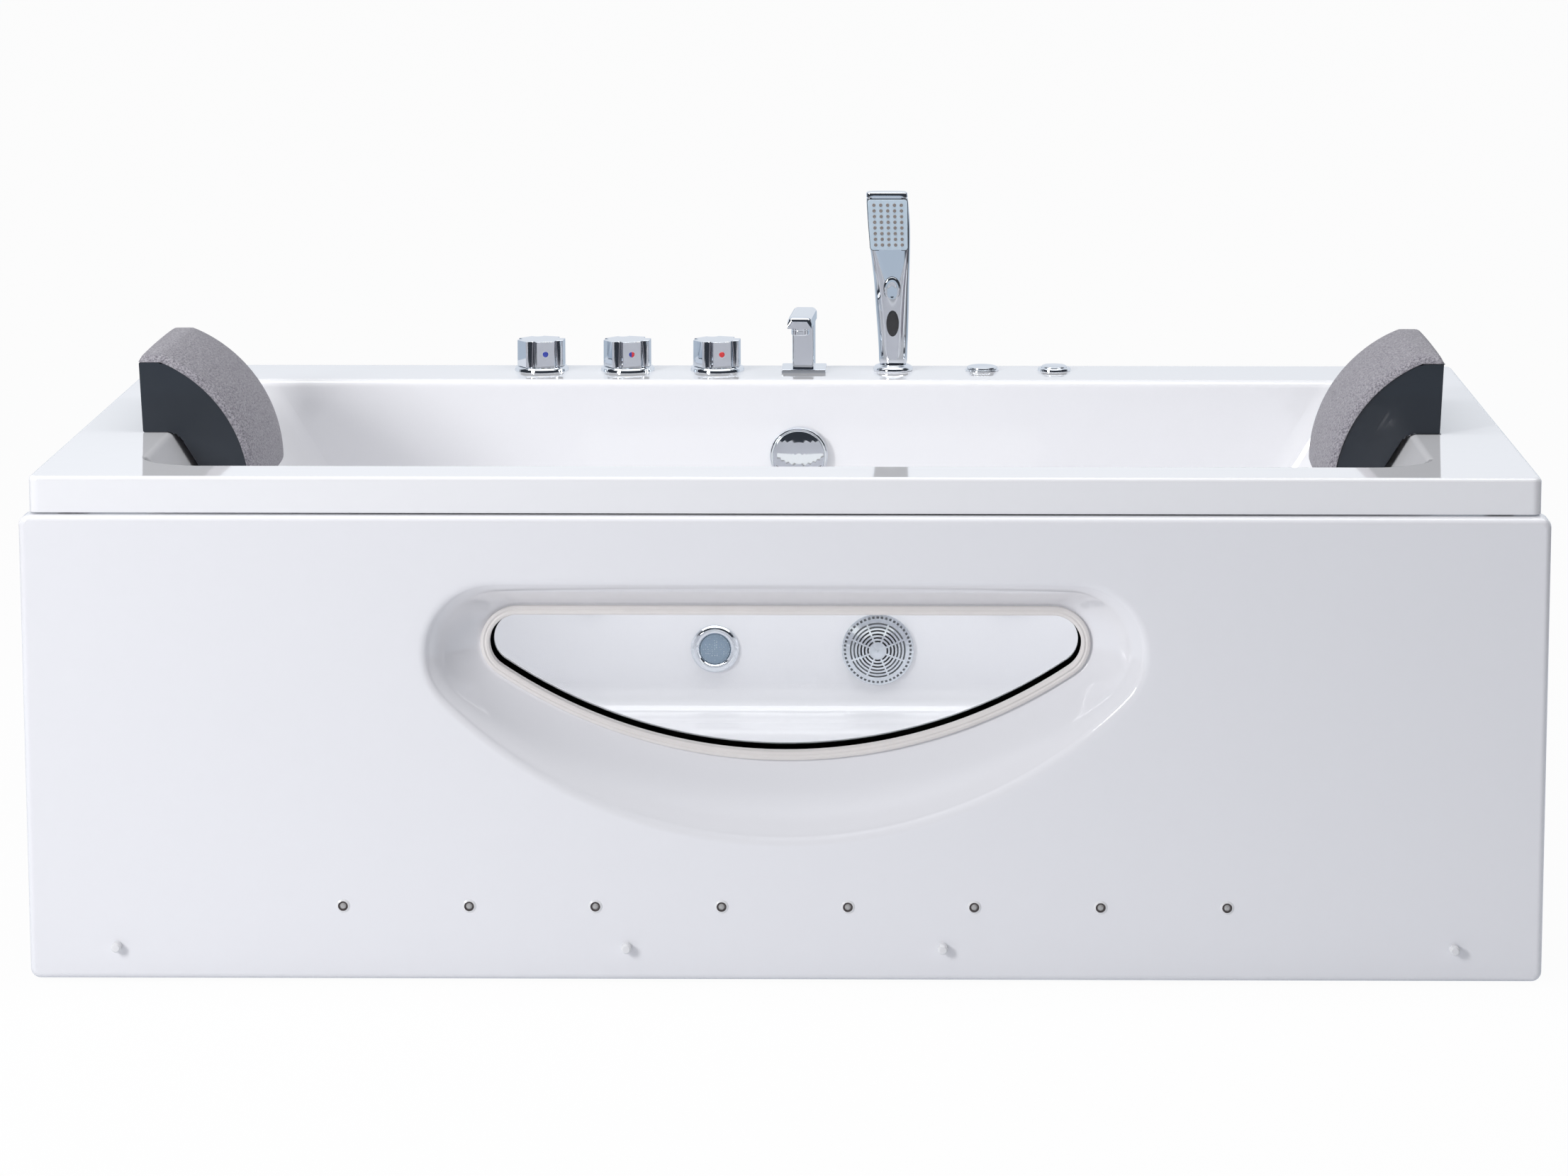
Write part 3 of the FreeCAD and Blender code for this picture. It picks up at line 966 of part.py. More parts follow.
light_at = ("light_x", "open_rear", "fitting_z")
node(turned("light_ring", light_at, "-y", [
    ("light_barrel - 2", "-light_length"), ("light_barrel", "-light_length"), ("light_barrel", "0"),
    ("light_radius", "0"), ("light_radius", "3"), ("light_radius - 3", "6.5"), ("light_radius - 6", "light_rise"),
    ("light_lens + 1", "light_rise - 2"), ("light_lens", "4"), ("light_lens", "2"), ("light_barrel - 2", "2")]))
node(turned("light_lens", light_at, "-y", [
    ("0", "2"), ("light_lens - bearing_gap", "2"), ("light_lens - bearing_gap", "4"), ("light_lens - 4", "5"),
    ("0", "5.5")]))
nuts.append(nut("light_nut", ("light_x", "wall_rear", "fitting_z"), "y", "light_barrel + deck_nut_lap",
                "light_barrel + bearing_gap", "deck_nut_thick"))
node(group("lock_nuts", nuts))

# ---------------------------------------------------------------- pump
# Motor in front, casing behind, one shaft through both with the fan, rotor and impeller.

pump_at = ("pump_x", "0", "pump_z")
casing_stock = rod("casing_stock", ("pump_x", "casing_y", "pump_z"), "y", "casing_radius", "casing_length")
inlet = rod("casing_inlet", ("pump_x", "casing_end - 2", "pump_z"), "y", "inlet_radius", "inlet_length + 2")
discharge = rod("casing_discharge", ("pump_x", "discharge_y", "pump_z"), "z", "discharge_radius",
                "discharge_rise")
casing_room = rod("casing_room", ("pump_x", "casing_y + casing_wall", "pump_z"), "y",
                  "casing_radius - casing_wall", "casing_length - 2 * casing_wall")
inlet_way = rod("inlet_way", ("pump_x", "casing_end - 20", "pump_z"), "y", "suction_pipe_radius - 2",
                "inlet_length + 30")
discharge_way = rod("discharge_way", ("pump_x", "discharge_y", "pump_z"), "z", "water_pipe_radius - 2",
                    "discharge_rise + 10")
seal_bore = rod("seal_bore", ("pump_x", "casing_y - 5", "pump_z"), "y", "shaft_radius + bearing_gap",
                "casing_wall + 10")
node(cut("pump_casing", fuse("casing_outside", casing_stock, inlet, discharge),
         casing_room, inlet_way, discharge_way, seal_bore))
motor_room = "motor_radius - motor_wall"
node(cut("motor_shell",
         rod("motor_stock", ("pump_x", "motor_y", "pump_z"), "y", "motor_radius", "motor_length"),
         rod("fan_room", ("pump_x", "motor_y + motor_wall", "pump_z"), "y", motor_room, "30"),
         rod("rotor_room", ("pump_x", "motor_y + motor_wall + 38", "pump_z"), "y", "rotor_radius + 1",
             "motor_length - 2 * motor_wall - 46"),
         rod("motor_bore", ("pump_x", "motor_y + motor_wall + 1", "pump_z"), "y", "shaft_radius + bearing_gap",
             "motor_length"),
         *[rod(f"motor_vent_{i}", (f"pump_x + motor_radius * 0.55 * cos({60 * i})", "motor_y - 1",
                                   f"pump_z + motor_radius * 0.55 * sin({60 * i})"), "y", "8",
               "motor_wall + 2") for i in range(6)]))
node(fuse("pump_shaft",
          rod("shaft_rod", ("pump_x", "motor_y + motor_wall + 6", "pump_z"), "y", "shaft_radius",
              "casing_y + casing_wall + 32 - motor_y - motor_wall - 6"),
          rod("shaft_rotor", ("pump_x", "motor_y + motor_wall + 45", "pump_z"), "y", "rotor_radius",
              "motor_length - 2 * motor_wall - 60")))
node(cut("pump_fan", rod("fan_disc", ("pump_x", "motor_y + motor_wall + 10", "pump_z"), "y", "fan_radius",
                         "fan_thick"),
         rod("fan_bore", ("pump_x", "motor_y", "pump_z"), "y", "shaft_radius", "60"),
         *[rod(f"fan_gap_{i}", (f"pump_x + fan_radius * 0.62 * cos({60 * i})", "motor_y",
                                f"pump_z + fan_radius * 0.62 * sin({60 * i})"), "y", "12", "60")
           for i in range(6)]))
node(cut("pump_impeller",
         rod("impeller_disc", ("pump_x", "casing_y + casing_wall + 10", "pump_z"), "y", "impeller_radius",
             "impeller_thick"),
         rod("impeller_bore", ("pump_x", "casing_y", "pump_z"), "y", "shaft_radius", "60"),
         *[rod(f"impeller_gap_{i}", (f"pump_x + impeller_radius * 0.68 * cos({60 * i})",
                                     "casing_y + casing_wall + 15",
                                     f"pump_z + impeller_radius * 0.68 * sin({60 * i})"),
               "y", "16", "60") for i in range(6)]))
cradles = [block(f"cradle_{i}", around("pump_x", "cradle_wide / 2"),
                 (f"{y}", f"{y} + cradle_long"), ("stand_foot", "pump_z - motor_radius * 0.7"))
           for i, y in enumerate(("motor_y + cradle_inset", "casing_y - cradle_inset - cradle_long"))]
stand_plate = block("stand_plate_block", around("pump_x", "stand_wide / 2"), ("motor_y + 10", "casing_y - 10"),
                    ("stand_foot", "stand_foot + stand_plate"))
node(cut("pump_stand", fuse("stand_stock", stand_plate, *cradles),
         rod("stand_hollow", ("pump_x", "motor_y - 5", "pump_z"), "y", "motor_radius + rest_gap",
             "motor_length + 10")))
inlet_union = turned("inlet_union", ("pump_x", "inlet_end", "pump_z"), "y", [
    ("inlet_radius + seal_gap", "-union_long / 2"), ("inlet_radius + union_lap", "-union_long / 2"),
    ("inlet_radius + union_lap", "union_long / 2"), ("suction_pipe_radius + seal_gap", "union_long / 2"),
    ("suction_pipe_radius + seal_gap", "seal_gap"), ("inlet_radius + seal_gap", "seal_gap")])
discharge_union = turned("discharge_union", ("pump_x", "discharge_y", "discharge_end"), "z", [
    ("discharge_radius + seal_gap", "-union_long / 2"), ("discharge_radius + union_lap", "-union_long / 2"),
    ("discharge_radius + union_lap", "union_long / 2"), ("water_pipe_radius + seal_gap", "union_long / 2"),
    ("water_pipe_radius + seal_gap", "seal_gap"), ("discharge_radius + seal_gap", "seal_gap")])
node(group("pump_unions", [inlet_union, discharge_union]))

# ---------------------------------------------------------------- pipes
# Rigid pipe with swept bends: suction to the pump, water to the jets, air to the jets.

suction_route = [V(mm("pump_x"), mm("inlet_end"), mm("pump_z")), V(mm("pump_x"), mm("suction_y"), mm("pump_z")),
                 V(mm("suction_x") + mm("suction_barrel") + 4, mm("suction_y"), mm("pump_z"))]
suction_bend = 1.8 * mm("suction_pipe_radius")
suction_bore = mm("suction_pipe_radius") - mm("suction_pipe_wall")
node(shaped("suction_pipe", run(suction_route, mm("suction_pipe_radius"), suction_bend).cut(
    run(suction_route, suction_bore, suction_bend))))

JET_PLACES = [sign * mm(word) for word in ("jet_inner_x", "jet_outer_x") for sign in (-1, 1)]
water_radius = mm("water_pipe_radius")
water_bore = water_radius - mm("water_pipe_wall")
water_y, water_z = mm("water_y"), mm("water_z")
water_route = [V(mm("pump_x"), mm("discharge_y"), mm("discharge_end")),
               V(mm("pump_x"), mm("discharge_y"), water_z), V(mm("pump_x"), water_y, water_z),
               V(-mm("water_end"), water_y, water_z)]
water_bend = min(1.6 * water_radius, 0.9 * (water_z - mm("discharge_end")))
port_top = mm("jet_z") + mm("port_rise")
water_outside = run(water_route, water_radius, water_bend)
water_inside = run(water_route[:-1] + [V(-mm("water_end") + 3, water_y, water_z)], water_bore, water_bend)
for x in JET_PLACES:
    water_outside = water_outside.fuse(Part.makeCylinder(12, water_z - port_top, V(x, water_y, port_top)))
    water_inside = water_inside.fuse(Part.makeCylinder(10, water_z - port_top, V(x, water_y, port_top)))
node(shaped("pressure_pipe", water_outside.cut(water_inside)))

air_radius = mm("air_pipe_radius")
air_y, air_z, deck_y = mm("air_y"), mm("air_z"), mm("deck_y")
air_route = [V(mm("air_x"), deck_y, mm("rim_height") - mm("air_drop") + 12), V(mm("air_x"), deck_y, air_z),
             V(mm("air_x"), air_y, air_z)]
header_radius = air_radius + mm("air_header_step")
end = mm("air_header_end")
air_port = mm("jet_z") - 34
air_outside = run(air_route, air_radius, 2.5 * air_radius).fuse(
    Part.makeCylinder(header_radius, 2 * end, V(-end, air_y, air_z), V(1, 0, 0)))
air_inside = run(air_route, air_radius - 2, 2.5 * air_radius).fuse(
    Part.makeCylinder(header_radius - 2, 2 * end - 4, V(2 - end, air_y, air_z), V(1, 0, 0)))
for x in JET_PLACES:
    air_outside = air_outside.fuse(Part.makeCylinder(6.5, air_port - air_z, V(x, air_y, air_z)))
    air_inside = air_inside.fuse(Part.makeCylinder(4.5, air_port - air_z, V(x, air_y, air_z)))
node(shaped("air_pipe", air_outside.cut(air_inside)))
node(group("mixer_pipes", mixers))

# ---------------------------------------------------------------- control box
# Fixed to the inner face of the left end rail, with a gland for the supply lead.

box_x = ("-post_x + tube_side / 2", "-post_x + tube_side / 2 + box_wide")
box_z = ("end_rail_height - (box_tall - tube_side) / 2", "end_rail_height + (box_tall + tube_side) / 2")
case = block("box_case", box_x, around("0", "box_long / 2"), box_z)
gland = rod("box_gland", (f"{box_x[0]} + box_wide / 2", "-box_long / 2 - gland_long", "end_rail_height"), "y",
            "gland_radius", "gland_long + 1")
gland_hole = rod("box_gland_hole", (f"{box_x[0]} + box_wide / 2", "-box_long / 2 - gland_long - 1",
                                    "end_rail_height"), "y", "gland_bore", "gland_long + 20")
room = block("box_room", (f"{box_x[0]} + 3", f"{box_x[1]} - 3"), around("0", "box_long / 2 - 3"),
             (f"{box_z[0]} + 3", f"{box_z[1]} - 3"))
node(cut("control_box", fuse("box_stock", case, gland), room, gland_hole))

# ---------------------------------------------------------------- pillows
# A moulded base hooked over the rim's inner edge, and a crowned foam pad on its top and slope.

def pillow_curve(grow):
    """Points of the pillow's back-to-front profile, grown outwards: top, and the long round slope."""
    top = mm("rim_height") + mm("pillow_rise") + grow
    outer = mm("pillow_outer_x")
    shoulder = V(outer - mm("pillow_top_wide") - grow * 0.35, 0, top)
    toe = V(mm("pillow_reach") - grow * 0.9, 0, mm("rim_height") - mm("pillow_drop") - grow * 0.3)
    middle = (shoulder + toe) * 0.5
    across = (toe - shoulder).cross(V(0, 1, 0)).normalize()
    half = (toe - shoulder).Length / 2
    bend = mm("pillow_bend") + grow
    bulge = bend - math.sqrt(bend ** 2 - half ** 2) if bend > half else 0.3 * half
    if across.z < 0:
        across = across * -1
    return V(outer, 0, top), shoulder, middle + across * bulge, toe


def pillow_base():
    outer_top, shoulder, crown, toe = pillow_curve(0)
    seat = mm("rim_height") + mm("pillow_lift")
    slope = mm("end_run") / mm("basin_depth")
    gap = mm("pillow_clear")
    heel = V(mm("open_half") - gap * 0.3, 0, seat)
    drop = mm("pillow_drop")
    back = V(mm("open_half") - slope * drop - gap, 0, mm("rim_height") - drop)
    notch = V(mm("open_half") - gap - 2, 0, mm("rim_height") - 6)
    foot = V(outer_top.x, 0, seat)
    path = Part.Wire([
        Part.LineSegment(foot, outer_top).toShape(), Part.LineSegment(outer_top, shoulder).toShape(),
        Part.Arc(shoulder, crown, toe).toShape(), Part.LineSegment(toe, back).toShape(),
        Part.LineSegment(back, notch).toShape(), Part.LineSegment(notch, heel).toShape(),
        Part.LineSegment(heel, foot).toShape()])
    long = mm("pillow_length")
    path.translate(V(0, mm("pillow_y") - long / 2, 0))
    return Part.Face(path).extrude(V(0, long, 0))


def pad_section(y, thick):
    outer_low, shoulder_low, crown_low, toe_low = pillow_curve(mm("pillow_lift"))
    outer_high, shoulder_high, crown_high, toe_high = pillow_curve(mm("pillow_lift") + thick)
    wire = Part.Wire([
        Part.LineSegment(outer_low, outer_high).toShape(),
        Part.LineSegment(outer_high, shoulder_high).toShape(),
        Part.Arc(shoulder_high, crown_high, toe_high).toShape(), Part.LineSegment(toe_high, toe_low).toShape(),
        Part.Arc(toe_low, crown_low, shoulder_low).toShape(),
        Part.LineSegment(shoulder_low, outer_low).toShape()])
    wire.translate(V(0, y, 0))
    return wire


def pillow_pad():
    """Sections along the pillow: thin at both ends, crowned in the middle."""
    half = mm("pillow_length") / 2
    edge, crown = mm("pad_thick_edge"), mm("pad_crown")
    wires = []
    for share in (-1, -0.93, -0.6, 0, 0.6, 0.93, 1):
        drawn = mm("pad_draw_in") if abs(share) == 1 else 0
        wires.append(pad_section(mm("pillow_y") + half * share, edge - drawn + crown * (1 - share ** 2)))
    return Part.makeLoft(wires, True, False)


def both_ends(shape):
    return Part.makeCompound([shape.mirror(V(), V(1, 0, 0)), shape])


node(shaped("pillow_bases", both_ends(pillow_base())))
node(shaped("pillow_pads", both_ends(pillow_pad())))

# ---------------------------------------------------------------- checks and files

doc.recompute()
for thing in doc.Objects:
    if "Invalid" in thing.State or "Error" in thing.State:
        raise SystemExit(f"{thing.Label} did not rebuild: {thing.State}")
for piece in NODES:
    if piece.Shape.isNull() or not piece.Shape.isValid() or not piece.Shape.Solids:
        raise SystemExit(f"{piece.Label} is not a sound solid")
    piece.Shape.exportStep(f"parts/{piece.Label}.step")
print(len(NODES), "nodes,", sum(len(piece.Shape.Solids) for piece in NODES), "solids")
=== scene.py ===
import math

import bmesh
import bpy
from mathutils import Matrix, Vector


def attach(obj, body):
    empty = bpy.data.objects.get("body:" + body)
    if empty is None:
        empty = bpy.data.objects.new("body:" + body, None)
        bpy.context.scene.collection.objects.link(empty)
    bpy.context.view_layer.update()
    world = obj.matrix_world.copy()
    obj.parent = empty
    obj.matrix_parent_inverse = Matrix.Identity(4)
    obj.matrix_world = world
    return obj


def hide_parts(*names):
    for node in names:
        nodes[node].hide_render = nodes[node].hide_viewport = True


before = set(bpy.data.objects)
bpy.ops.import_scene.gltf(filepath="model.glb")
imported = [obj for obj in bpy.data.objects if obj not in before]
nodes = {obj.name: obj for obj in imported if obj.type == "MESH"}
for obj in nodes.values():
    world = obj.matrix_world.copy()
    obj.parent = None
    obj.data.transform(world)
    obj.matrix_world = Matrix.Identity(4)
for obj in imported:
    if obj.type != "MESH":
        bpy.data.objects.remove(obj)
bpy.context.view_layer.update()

# ------------------------------------------------------------ camera and studio
# A long lens at eye height, in front of the bath and a little to the right of its middle.
# The small shift keeps the upright edges of the panel near to upright.
scene = bpy.context.scene
scene.view_settings.view_transform = "Standard"
lens = bpy.data.cameras.new("camera")
lens.lens = 101.94
lens.shift_x = -0.05
lens.shift_y = -0.15
lens.clip_end = 100
camera = bpy.data.objects.new("camera", lens)
camera.location = (0.1395, -5.563, 1.514)
camera.rotation_euler = (math.radians(90 - 8.381), 0, math.radians(0.529))
scene.collection.objects.link(camera)
scene.camera = camera


class Wire:
    """A value in a material or in the world, on which sums can be written."""

    def __init__(self, home, socket):
        self.home, self.socket = home, socket

    def sum(self, operation, first, second, clamp=False):
        return self.home.node("Math", {"operation": operation, "use_clamp": clamp},
                              {0: first, 1: second})

    def __add__(self, other):
        return self.sum("ADD", self, other)

    def __radd__(self, other):
        return self.sum("ADD", other, self)

    def __sub__(self, other):
        return self.sum("SUBTRACT", self, other)

    def __rsub__(self, other):
        return self.sum("SUBTRACT", other, self)

    def __mul__(self, other):
        return self.sum("MULTIPLY", self, other)

    def __rmul__(self, other):
        return self.sum("MULTIPLY", other, self)

    def __truediv__(self, other):
        return self.sum("DIVIDE", self, other)

    def __rtruediv__(self, other):
        return self.sum("DIVIDE", other, self)

    def above(self, low, high):
        """0 up to low, 1 from high, and a straight slope between."""
        return self.sum("MULTIPLY", self - low, 1 / (high - low), clamp=True)

    def size(self):
        return self.sum("ABSOLUTE", self, 0)


class Nodes:
    """A node tree, with one way to add a node to it."""

    def __init__(self, tree):
        self.tree = tree

    def node(self, kind, settings, inputs, output=0):
        made = self.tree.nodes.new("ShaderNode" + kind)
        for key, value in settings.items():
            setattr(made, key, value)
        for key, value in inputs.items():
            self.feed(made.inputs[key], value)
        return Wire(self, made.outputs[output])

    def feed(self, socket, value):
        if isinstance(value, Wire):
            self.tree.links.new(value.socket, socket)
        else:
            socket.default_value = value

    def place(self, axis=None):
        spot = self.node("TexCoord", {}, {}, "Object")
        return self.node("SeparateXYZ", {}, {0: spot}, axis) if axis else spot

    def noise(self, scale, detail=2.0, vector=None):
        """Cloudy values about 0.5, at a scale in features to the metre."""
        return self.node("TexNoise", {}, {"Vector": vector or self.place(), "Scale": scale,
                                          "Detail": detail})

    def blend(self, mask, low, high):
        """A colour between two, where the mask goes from 0 to 1."""
        sides = [side if isinstance(side, Wire) else (*side, 1) for side in (low, high)]
        return self.node("Mix", {"data_type": "RGBA"}, {0: mask, 6: sides[0], 7: sides[1]}, 2)

    def seen(self):
        """1 for rays that show a background: from the camera, or by way of glass."""
        straight = self.node("LightPath", {}, {}, "Is Camera Ray")
        through = self.node("LightPath", {}, {}, "Is Transmission Ray")
        return straight.sum("ADD", straight, through, clamp=True)


class Finish(Nodes):
    """A material and its shader."""

    def __init__(self, name, colour, roughness, **settings):
        self.material = bpy.data.materials.new(name)
        self.material.use_nodes = True
        super().__init__(self.material.node_tree)
        self.shader = self.tree.nodes["Principled BSDF"]
        self.set("Base Color", (*colour, 1))
        self.set("Roughness", roughness)
        for socket, value in settings.items():
            self.set(socket.replace("_", " "), value)

    def set(self, socket, value):
        self.feed(self.shader.inputs[socket], value)

    def bump(self, height, distance, strength=1.0):
        self.set("Normal", self.node("Bump", {}, {"Height": height, "Distance": distance,
                                                  "Strength": strength}))


# The floor is a wide white sheet. It shows white to the camera and a pale blue-grey in metal,
# which runs out to dark at both sides, and it still takes a little of the bath's shadow.
floor_mesh = bpy.data.meshes.new("floor")
floor_form = bmesh.new()
bmesh.ops.create_grid(floor_form, x_segments=1, y_segments=1, size=30)
floor_form.to_mesh(floor_mesh)
floor_form.free()
floor = bpy.data.objects.new("floor", floor_mesh)
scene.collection.objects.link(floor)
paper = Finish("studio_paper", (0.86, 0.86, 0.87), 0.9)
glow = paper.node("Emission", {}, {"Color": (1, 1, 1, 1), "Strength": 1.0})
beside = paper.place("X").size().above(2.4, 3.2) * (1 - paper.place("Y").above(1.5, 2.5))
reflected = paper.blend(beside, (0.50, 0.58, 0.68), (0.02, 0.022, 0.026))
mirror_glow = paper.node("Emission", {}, {"Color": reflected, "Strength": 1.0})
glossy = paper.node("LightPath", {}, {}, "Is Glossy Ray")
matt = Wire(paper, paper.shader.outputs[0])
in_metal = paper.node("MixShader", {}, {0: glossy * 0.9, 1: matt, 2: mirror_glow})
shown = paper.node("MixShader", {}, {0: paper.seen() * 0.96, 1: in_metal, 2: glow})
paper.feed(paper.tree.nodes["Material Output"].inputs[0], shown)
floor_mesh.materials.append(paper.material)

# The world is a white studio. What a mirror sees of it is dark in front and at both sides, up to
# a bright ceiling.
world = bpy.data.worlds.new("studio")
world.use_nodes = True
scene.world = world
sky = Nodes(world.node_tree)
direction = sky.node("TexCoord", {}, {}, "Generated")
depth, height = [sky.node("SeparateXYZ", {}, {0: direction}, axis) for axis in "YZ"]
ahead = 1 - depth.above(0.12, 0.42)
ceiling = height.above(0.70, 0.86)
room = sky.blend(ahead * (1 - ceiling), (0.78, 0.82, 0.88), (0.035, 0.04, 0.05))
mirrored = sky.node("LightPath", {}, {}, "Is Glossy Ray")
plain = sky.node("Background", {}, {"Color": (0.93, 0.95, 1.0, 1), "Strength": 0.33})
in_mirrors = sky.node("Background", {}, {"Color": room, "Strength": 1.0})
white = sky.node("Background", {}, {"Color": (1, 1, 1, 1), "Strength": 1.0})
studio = sky.node("MixShader", {}, {0: mirrored, 1: plain, 2: in_mirrors})
sky.feed(world.node_tree.nodes["World Output"].inputs[0],
         sky.node("MixShader", {}, {0: sky.seen(), 1: studio, 2: white}))


def softbox(name, at, aim, size, watts):
    data = bpy.data.lights.new(name, "AREA")
    data.shape = "RECTANGLE"
    data.size, data.size_y = size
    data.energy = watts
    lamp = bpy.data.objects.new(name, data)
    lamp.location = at
    lamp.rotation_euler = (Vector(aim) - Vector(at)).to_track_quat("-Z", "Y").to_euler()
    scene.collection.objects.link(lamp)


softbox("overhead", (0, -0.3, 2.6), (0, 0.3, 0.4), (4.5, 0.9), 38)
softbox("left_box", (-3.2, -3.6, 2.3), (-0.4, 0, 0.5), (1.0, 1.5), 118)


def dress(finish, *names):
    """Give CAD nodes their finish. Their bodies and slots are as they are packed."""
    for name in names:
        for slot in nodes[name].material_slots:
            slot.link = "OBJECT"
            slot.material = finish.material


# ------------------------------------------------------------ bath shell
# One sheet of white sanitary acrylic, drawn into shape and turned down at the lip. Its gloss is
# deep, with the faint ripple that a drawn sheet keeps.
acrylic = Finish("white_acrylic", (0.92, 0.92, 0.945), 0.06, Coat_Weight=0.5, Coat_Roughness=0.02)
ripple = acrylic.noise(14, 1.5)
acrylic.bump(ripple, 0.0006, 0.25)
acrylic.set("Roughness", 0.045 + 0.04 * acrylic.noise(60))
dress(acrylic, "bath_shell")

# ------------------------------------------------------------ front panel
# A second drawn sheet, clipped under the lip. Its edges turn back, and a dish with a soft mouth
# runs in to the window. It is drilled for eight light spots and four push plugs.
MM = 0.001
# half length, foot, top and corner radius
PANEL = (900, 4, 565, 12)
PANEL_FACE = -444.0
PANEL_EDGE = 8
# top, foot, corner radius and radius of the long arc
RECESS = (481, 178, 80, 560)
WINDOW = (448, 260, 45, 610)
DISH = 56
SPOT_PITCH, SPOT_Z, SPOT_HOLE = 150, 94.6, 6.4
PLUG_PLACES, PLUG_Z, PLUG_HOLE = (-795, -188, 188, 795), 45, 3.2


def between(first, second, share):
    return tuple(a + (b - a) * share for a, b in zip(first, second))


def sweep(form, vert, centre, angle, steps, axis=(0, 1, 0)):
    """Draw an arc from one point, and give back its last point."""
    made = bmesh.ops.spin(form, geom=[vert], cent=centre, axis=axis, angle=angle, steps=steps)
    return made["geom_last"][0]


def smile_ring(form, shape, grow, y):
    """The window's kind of outline: level top, two round corners, one long arc below."""
    top, foot, corner, long_arc = shape
    hub = foot + long_arc
    corner_z = top - corner
    corner_x = math.sqrt((long_arc - corner) ** 2 - (hub - corner_z) ** 2)
    low = math.atan2(corner_z - hub, corner_x)
    known = set(form.edges)
    first = form.verts.new((corner_x, y, top + grow))
    last = sweep(form, first, (corner_x, y, corner_z), math.pi / 2 - low, 18)
    last = sweep(form, last, (0, y, hub), math.pi + 2 * low, 56)
    last = sweep(form, last, (-corner_x, y, corner_z), math.pi / 2 - low, 18)
    form.edges.new((last, first))
    return [e for e in form.edges if e not in known]


def box_ring(form, half, low, high, corner, inset, y):
    """A rectangle with round corners, upright, drawn in by its inset."""
    radius = corner - inset
    known = set(form.edges)
    first = last = None
    for x, z, turn in ((half - corner, high - corner, 0), (half - corner, low + corner, 90),
                       (corner - half, low + corner, 180), (corner - half, high - corner, 270)):
        a = math.radians(turn)
        start = form.verts.new((x + radius * math.sin(a), y, z + radius * math.cos(a)))
        if last:
            form.edges.new((last, start))
        first = first or start
        last = sweep(form, start, (x, y, z), math.pi / 2, 6)
    form.edges.new((last, first))
    return [e for e in form.edges if e not in known]


def bridge(form, rings):
    for one, two in zip(rings, rings[1:]):
        bmesh.ops.bridge_loops(form, edges=one + two)


def make(name, form, finish, body, stands_for=(), crease=38, scale=MM):
    """Turn a finished form, in millimetres, into a piece that rides on its body."""
    bmesh.ops.remove_doubles(form, verts=form.verts, dist=0.002)
    bmesh.ops.recalc_face_normals(form, faces=form.faces)
    bmesh.ops.scale(form, vec=(scale,) * 3, verts=form.verts)
    mesh = bpy.data.meshes.new(name)
    form.to_mesh(mesh)
    form.free()
    mesh.shade_smooth()
    mesh.set_sharp_from_angle(angle=math.radians(crease))
    mesh.materials.append(finish.material)
    piece = bpy.data.objects.new(name, mesh)
    scene.collection.objects.link(piece)
    flats = piece.modifiers.new("flat_faces", "WEIGHTED_NORMAL")
    flats.keep_sharp = True
    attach(piece, body)
    if stands_for:
        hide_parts(*stands_for)
    return piece


panel_form = bmesh.new()
rings = [box_ring(panel_form, *PANEL, 0, PANEL_FACE + 34)]
for turn in (90, 70, 50, 30, 15, 0):
    a = math.radians(turn)
    inset, back = PANEL_EDGE * (1 - math.sin(a)), PANEL_EDGE * (1 - math.cos(a))
    rings.append(box_ring(panel_form, *PANEL, inset, PANEL_FACE + back))
bridge(panel_form, rings)
outer_edge = rings[-1]
rings = [smile_ring(panel_form, RECESS, grow, PANEL_FACE + deep)
         for grow, deep in ((26, 0), (11, 0), (7, 0.5), (3.5, 1.8), (0.8, 4.0), (-1.2, 7.0))]
for share in (0.16, 0.3, 0.45, 0.6, 0.75, 0.88, 0.96, 1.0):
    swell = 3.5 * math.sin(math.pi * share)
    rings.append(smile_ring(panel_form, between(RECESS, WINDOW, share), 2 * share - swell * 0.35,
                            PANEL_FACE + DISH * share + swell))
lip = PANEL_FACE + DISH + 0.4
rings.append(smile_ring(panel_form, WINDOW, 0, lip))
rings.append(smile_ring(panel_form, WINDOW, -4, lip))
bridge(panel_form, rings)
holes = [((i - 3.5) * SPOT_PITCH, SPOT_Z, SPOT_HOLE) for i in range(8)]
holes += [(x, PLUG_Z, PLUG_HOLE) for x in PLUG_PLACES]
upright = Matrix.Rotation(math.pi / 2, 4, "X")
drilled = []
for x, z, radius in holes:
    known = set(panel_form.edges)
    bmesh.ops.create_circle(panel_form, segments=20, radius=radius,
                            matrix=Matrix.Translation((x, PANEL_FACE, z)) @ upright)
    drilled += [e for e in panel_form.edges if e not in known]
bmesh.ops.triangle_fill(panel_form, use_beauty=True, edges=outer_edge + rings[0] + drilled,
                        normal=(0, -1, 0))
bmesh.ops.recalc_face_normals(panel_form, faces=panel_form.faces)
bmesh.ops.solidify(panel_form, geom=panel_form.faces, thickness=4.6)
panel_acrylic = Finish("panel_acrylic", (0.87, 0.87, 0.905), 0.08, Coat_Weight=0.5,
                       Coat_Roughness=0.03)
panel_acrylic.bump(panel_acrylic.noise(9, 1.5), 0.0008, 0.2)
panel_acrylic.set("Roughness", 0.06 + 0.05 * panel_acrylic.noise(45))
make("panel_sheet", panel_form, panel_acrylic, "bath", ["front_panel"], crease=60)

# ------------------------------------------------------------ window
# A cream edge trim pushed over the lip of the panel, with one groove along its face. Behind it
# a clear pane lies on a dark gasket, against the wall of the basin.
trim_form = bmesh.new()
